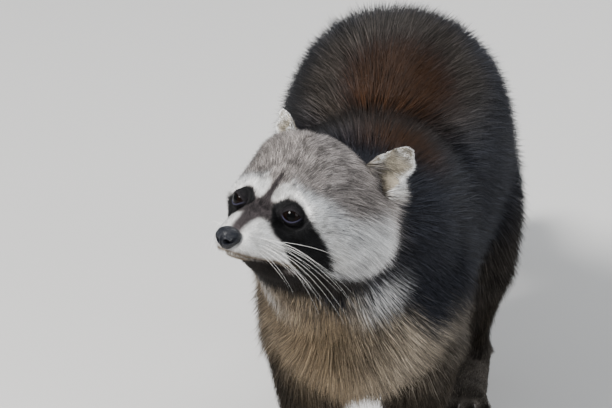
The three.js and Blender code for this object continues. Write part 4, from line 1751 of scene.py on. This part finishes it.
# The lamps, each with its place and its size in metres, its power and its tint.
LAMP_AIM = (0, -0.1, 0.18)
LAMPS = {
    "key": ((-1.5, -2.0, 2.5), 1.2, 340, (1.0, 0.985, 0.96)),
    "fill": ((2.6, -1.6, 1.3), 2.0, 64, (0.94, 0.97, 1.0)),
    "rim": ((0.9, 2.2, 2.0), 1.4, 62, (1, 1, 1)),
}
WORLD_COLOUR, WORLD_STRENGTH = (0.86, 0.93, 1.0), 0.58

# The floor, in metres: flat from the front to the bend, which is a quarter of a circle, then upright.
FLOOR_FRONT, BEND_START, BEND, FLOOR_TOP, FLOOR_HALF_WIDTH = -12, 7, 3, 12, 16
FLOOR_COLOUR, FLOOR_ROUGHNESS = (0.45, 0.443, 0.435), 0.9


def floor_mesh():
    """A strip that is flat in front and curves up behind."""
    bend = np.pi / 2 * np.linspace(0, 1, 33)
    y = np.concatenate([[FLOOR_FRONT], BEND_START + BEND * np.sin(bend), [BEND_START + BEND]])
    z = np.concatenate([[0], BEND - BEND * np.cos(bend), [FLOOR_TOP]])
    points = [(x, y[i], z[i]) for i in range(len(y)) for x in (-FLOOR_HALF_WIDTH, FLOOR_HALF_WIDTH)]
    return mesh_from("floor", np.array(points), grid_faces(len(y), 2, False)[:, ::-1])


def camera():
    """The camera, aimed so that the head's origin falls on its place in the picture."""
    turn, rise = math.radians(CAMERA_TURN), math.radians(CAMERA_RISE)
    right = np.array((math.cos(turn), math.sin(turn), 0))
    back = np.array((math.sin(turn) * math.cos(rise), -math.cos(turn) * math.cos(rise), math.sin(rise)))
    up = np.cross(back, right)
    off = PICTURE / 2 - HEAD_AT
    aim = HEAD_ORIGIN + (right * off[0] - up * off[1]) / SCALE * MM
    lens = bpy.data.cameras.new("camera")
    lens.sensor_width = SENSOR
    lens.lens = SENSOR * SCALE * CAMERA_AWAY / MM / PICTURE[0]
    lens.clip_start, lens.clip_end = 0.1, 60
    made = bpy.data.objects.new("camera", lens)
    axes = Matrix([[*map(float, row)] for row in np.stack([right, up, back], 1)])
    made.matrix_world = Matrix.Translation(aim + back * CAMERA_AWAY) @ axes.to_4x4()
    return made


def light(name, place, size, power, tint):
    """A round lamp that looks at the trunk."""
    lamp = bpy.data.lights.new(name, "AREA")
    lamp.shape, lamp.size, lamp.energy, lamp.color = "DISK", size, power, tint
    made = bpy.data.objects.new(name, lamp)
    made.location = place
    made.rotation_euler = (Vector(LAMP_AIM) - Vector(place)).to_track_quat("-Z", "Y").to_euler()
    bpy.context.scene.collection.objects.link(made)
    return made


class RACCOON_OT_stage(bpy.types.Operator):
    """Set the camera, the lights and a pale floor that curves up behind"""

    bl_idname = "raccoon.stage"
    bl_label = "Stage"

    def execute(self, context):
        context.scene.camera = camera()
        context.scene.collection.objects.link(context.scene.camera)
        floor = show("floor", floor_mesh(), plain("floor", FLOOR_COLOUR, FLOOR_ROUGHNESS))
        lamps = [light(name, *values) for name, values in LAMPS.items()]
        world = bpy.data.worlds.new("world")
        world.use_nodes = True
        background = world.node_tree.nodes["Background"]
        background.inputs["Color"].default_value = rgba(WORLD_COLOUR)
        background.inputs["Strength"].default_value = WORLD_STRENGTH
        context.scene.world = world
        return {"FINISHED"}


PIECES = (
    RACCOON_OT_skin,
    RACCOON_OT_eyes,
    RACCOON_OT_nose,
    RACCOON_OT_claws,
    RACCOON_OT_whiskers,
    RACCOON_OT_coat_head,
    RACCOON_OT_coat_body,
    RACCOON_OT_coat_tail,
    RACCOON_OT_coat_legs,
    RACCOON_OT_stage,
)


class RACCOON_PT_pieces(bpy.types.Panel):
    """The raccoon's pieces, in the order they are made"""

    bl_label = "Raccoon"
    bl_idname = "RACCOON_PT_pieces"
    bl_space_type = "VIEW_3D"
    bl_region_type = "UI"
    bl_category = "Raccoon"

    def draw(self, context):
        column = self.layout.column()
        for piece in PIECES:
            column.operator(piece.bl_idname)
        groups = context.scene.raccoon
        for group in (groups.skin, groups.coat, groups.colours, groups.face):
            box = self.layout.box().column()
            for name in group.bl_rna.properties.keys():
                if name not in {"rna_type", "name"}:
                    box.prop(group, name)


GROUPS = (SkinSizes, CoatSizes, CoatColours, FaceColours, RaccoonSettings)


def register():
    for made in (*GROUPS, *PIECES, RACCOON_PT_pieces):
        bpy.utils.register_class(made)
    bpy.types.Scene.raccoon = PointerProperty(type=RaccoonSettings)


def unregister():
    del bpy.types.Scene.raccoon
    for made in reversed((*GROUPS, *PIECES, RACCOON_PT_pieces)):
        bpy.utils.unregister_class(made)


def main():
    register()
    for piece in PIECES:
        group, name = piece.bl_idname.split(".")
        getattr(getattr(bpy.ops, group), name)()


if __name__ == "__main__":
    main()
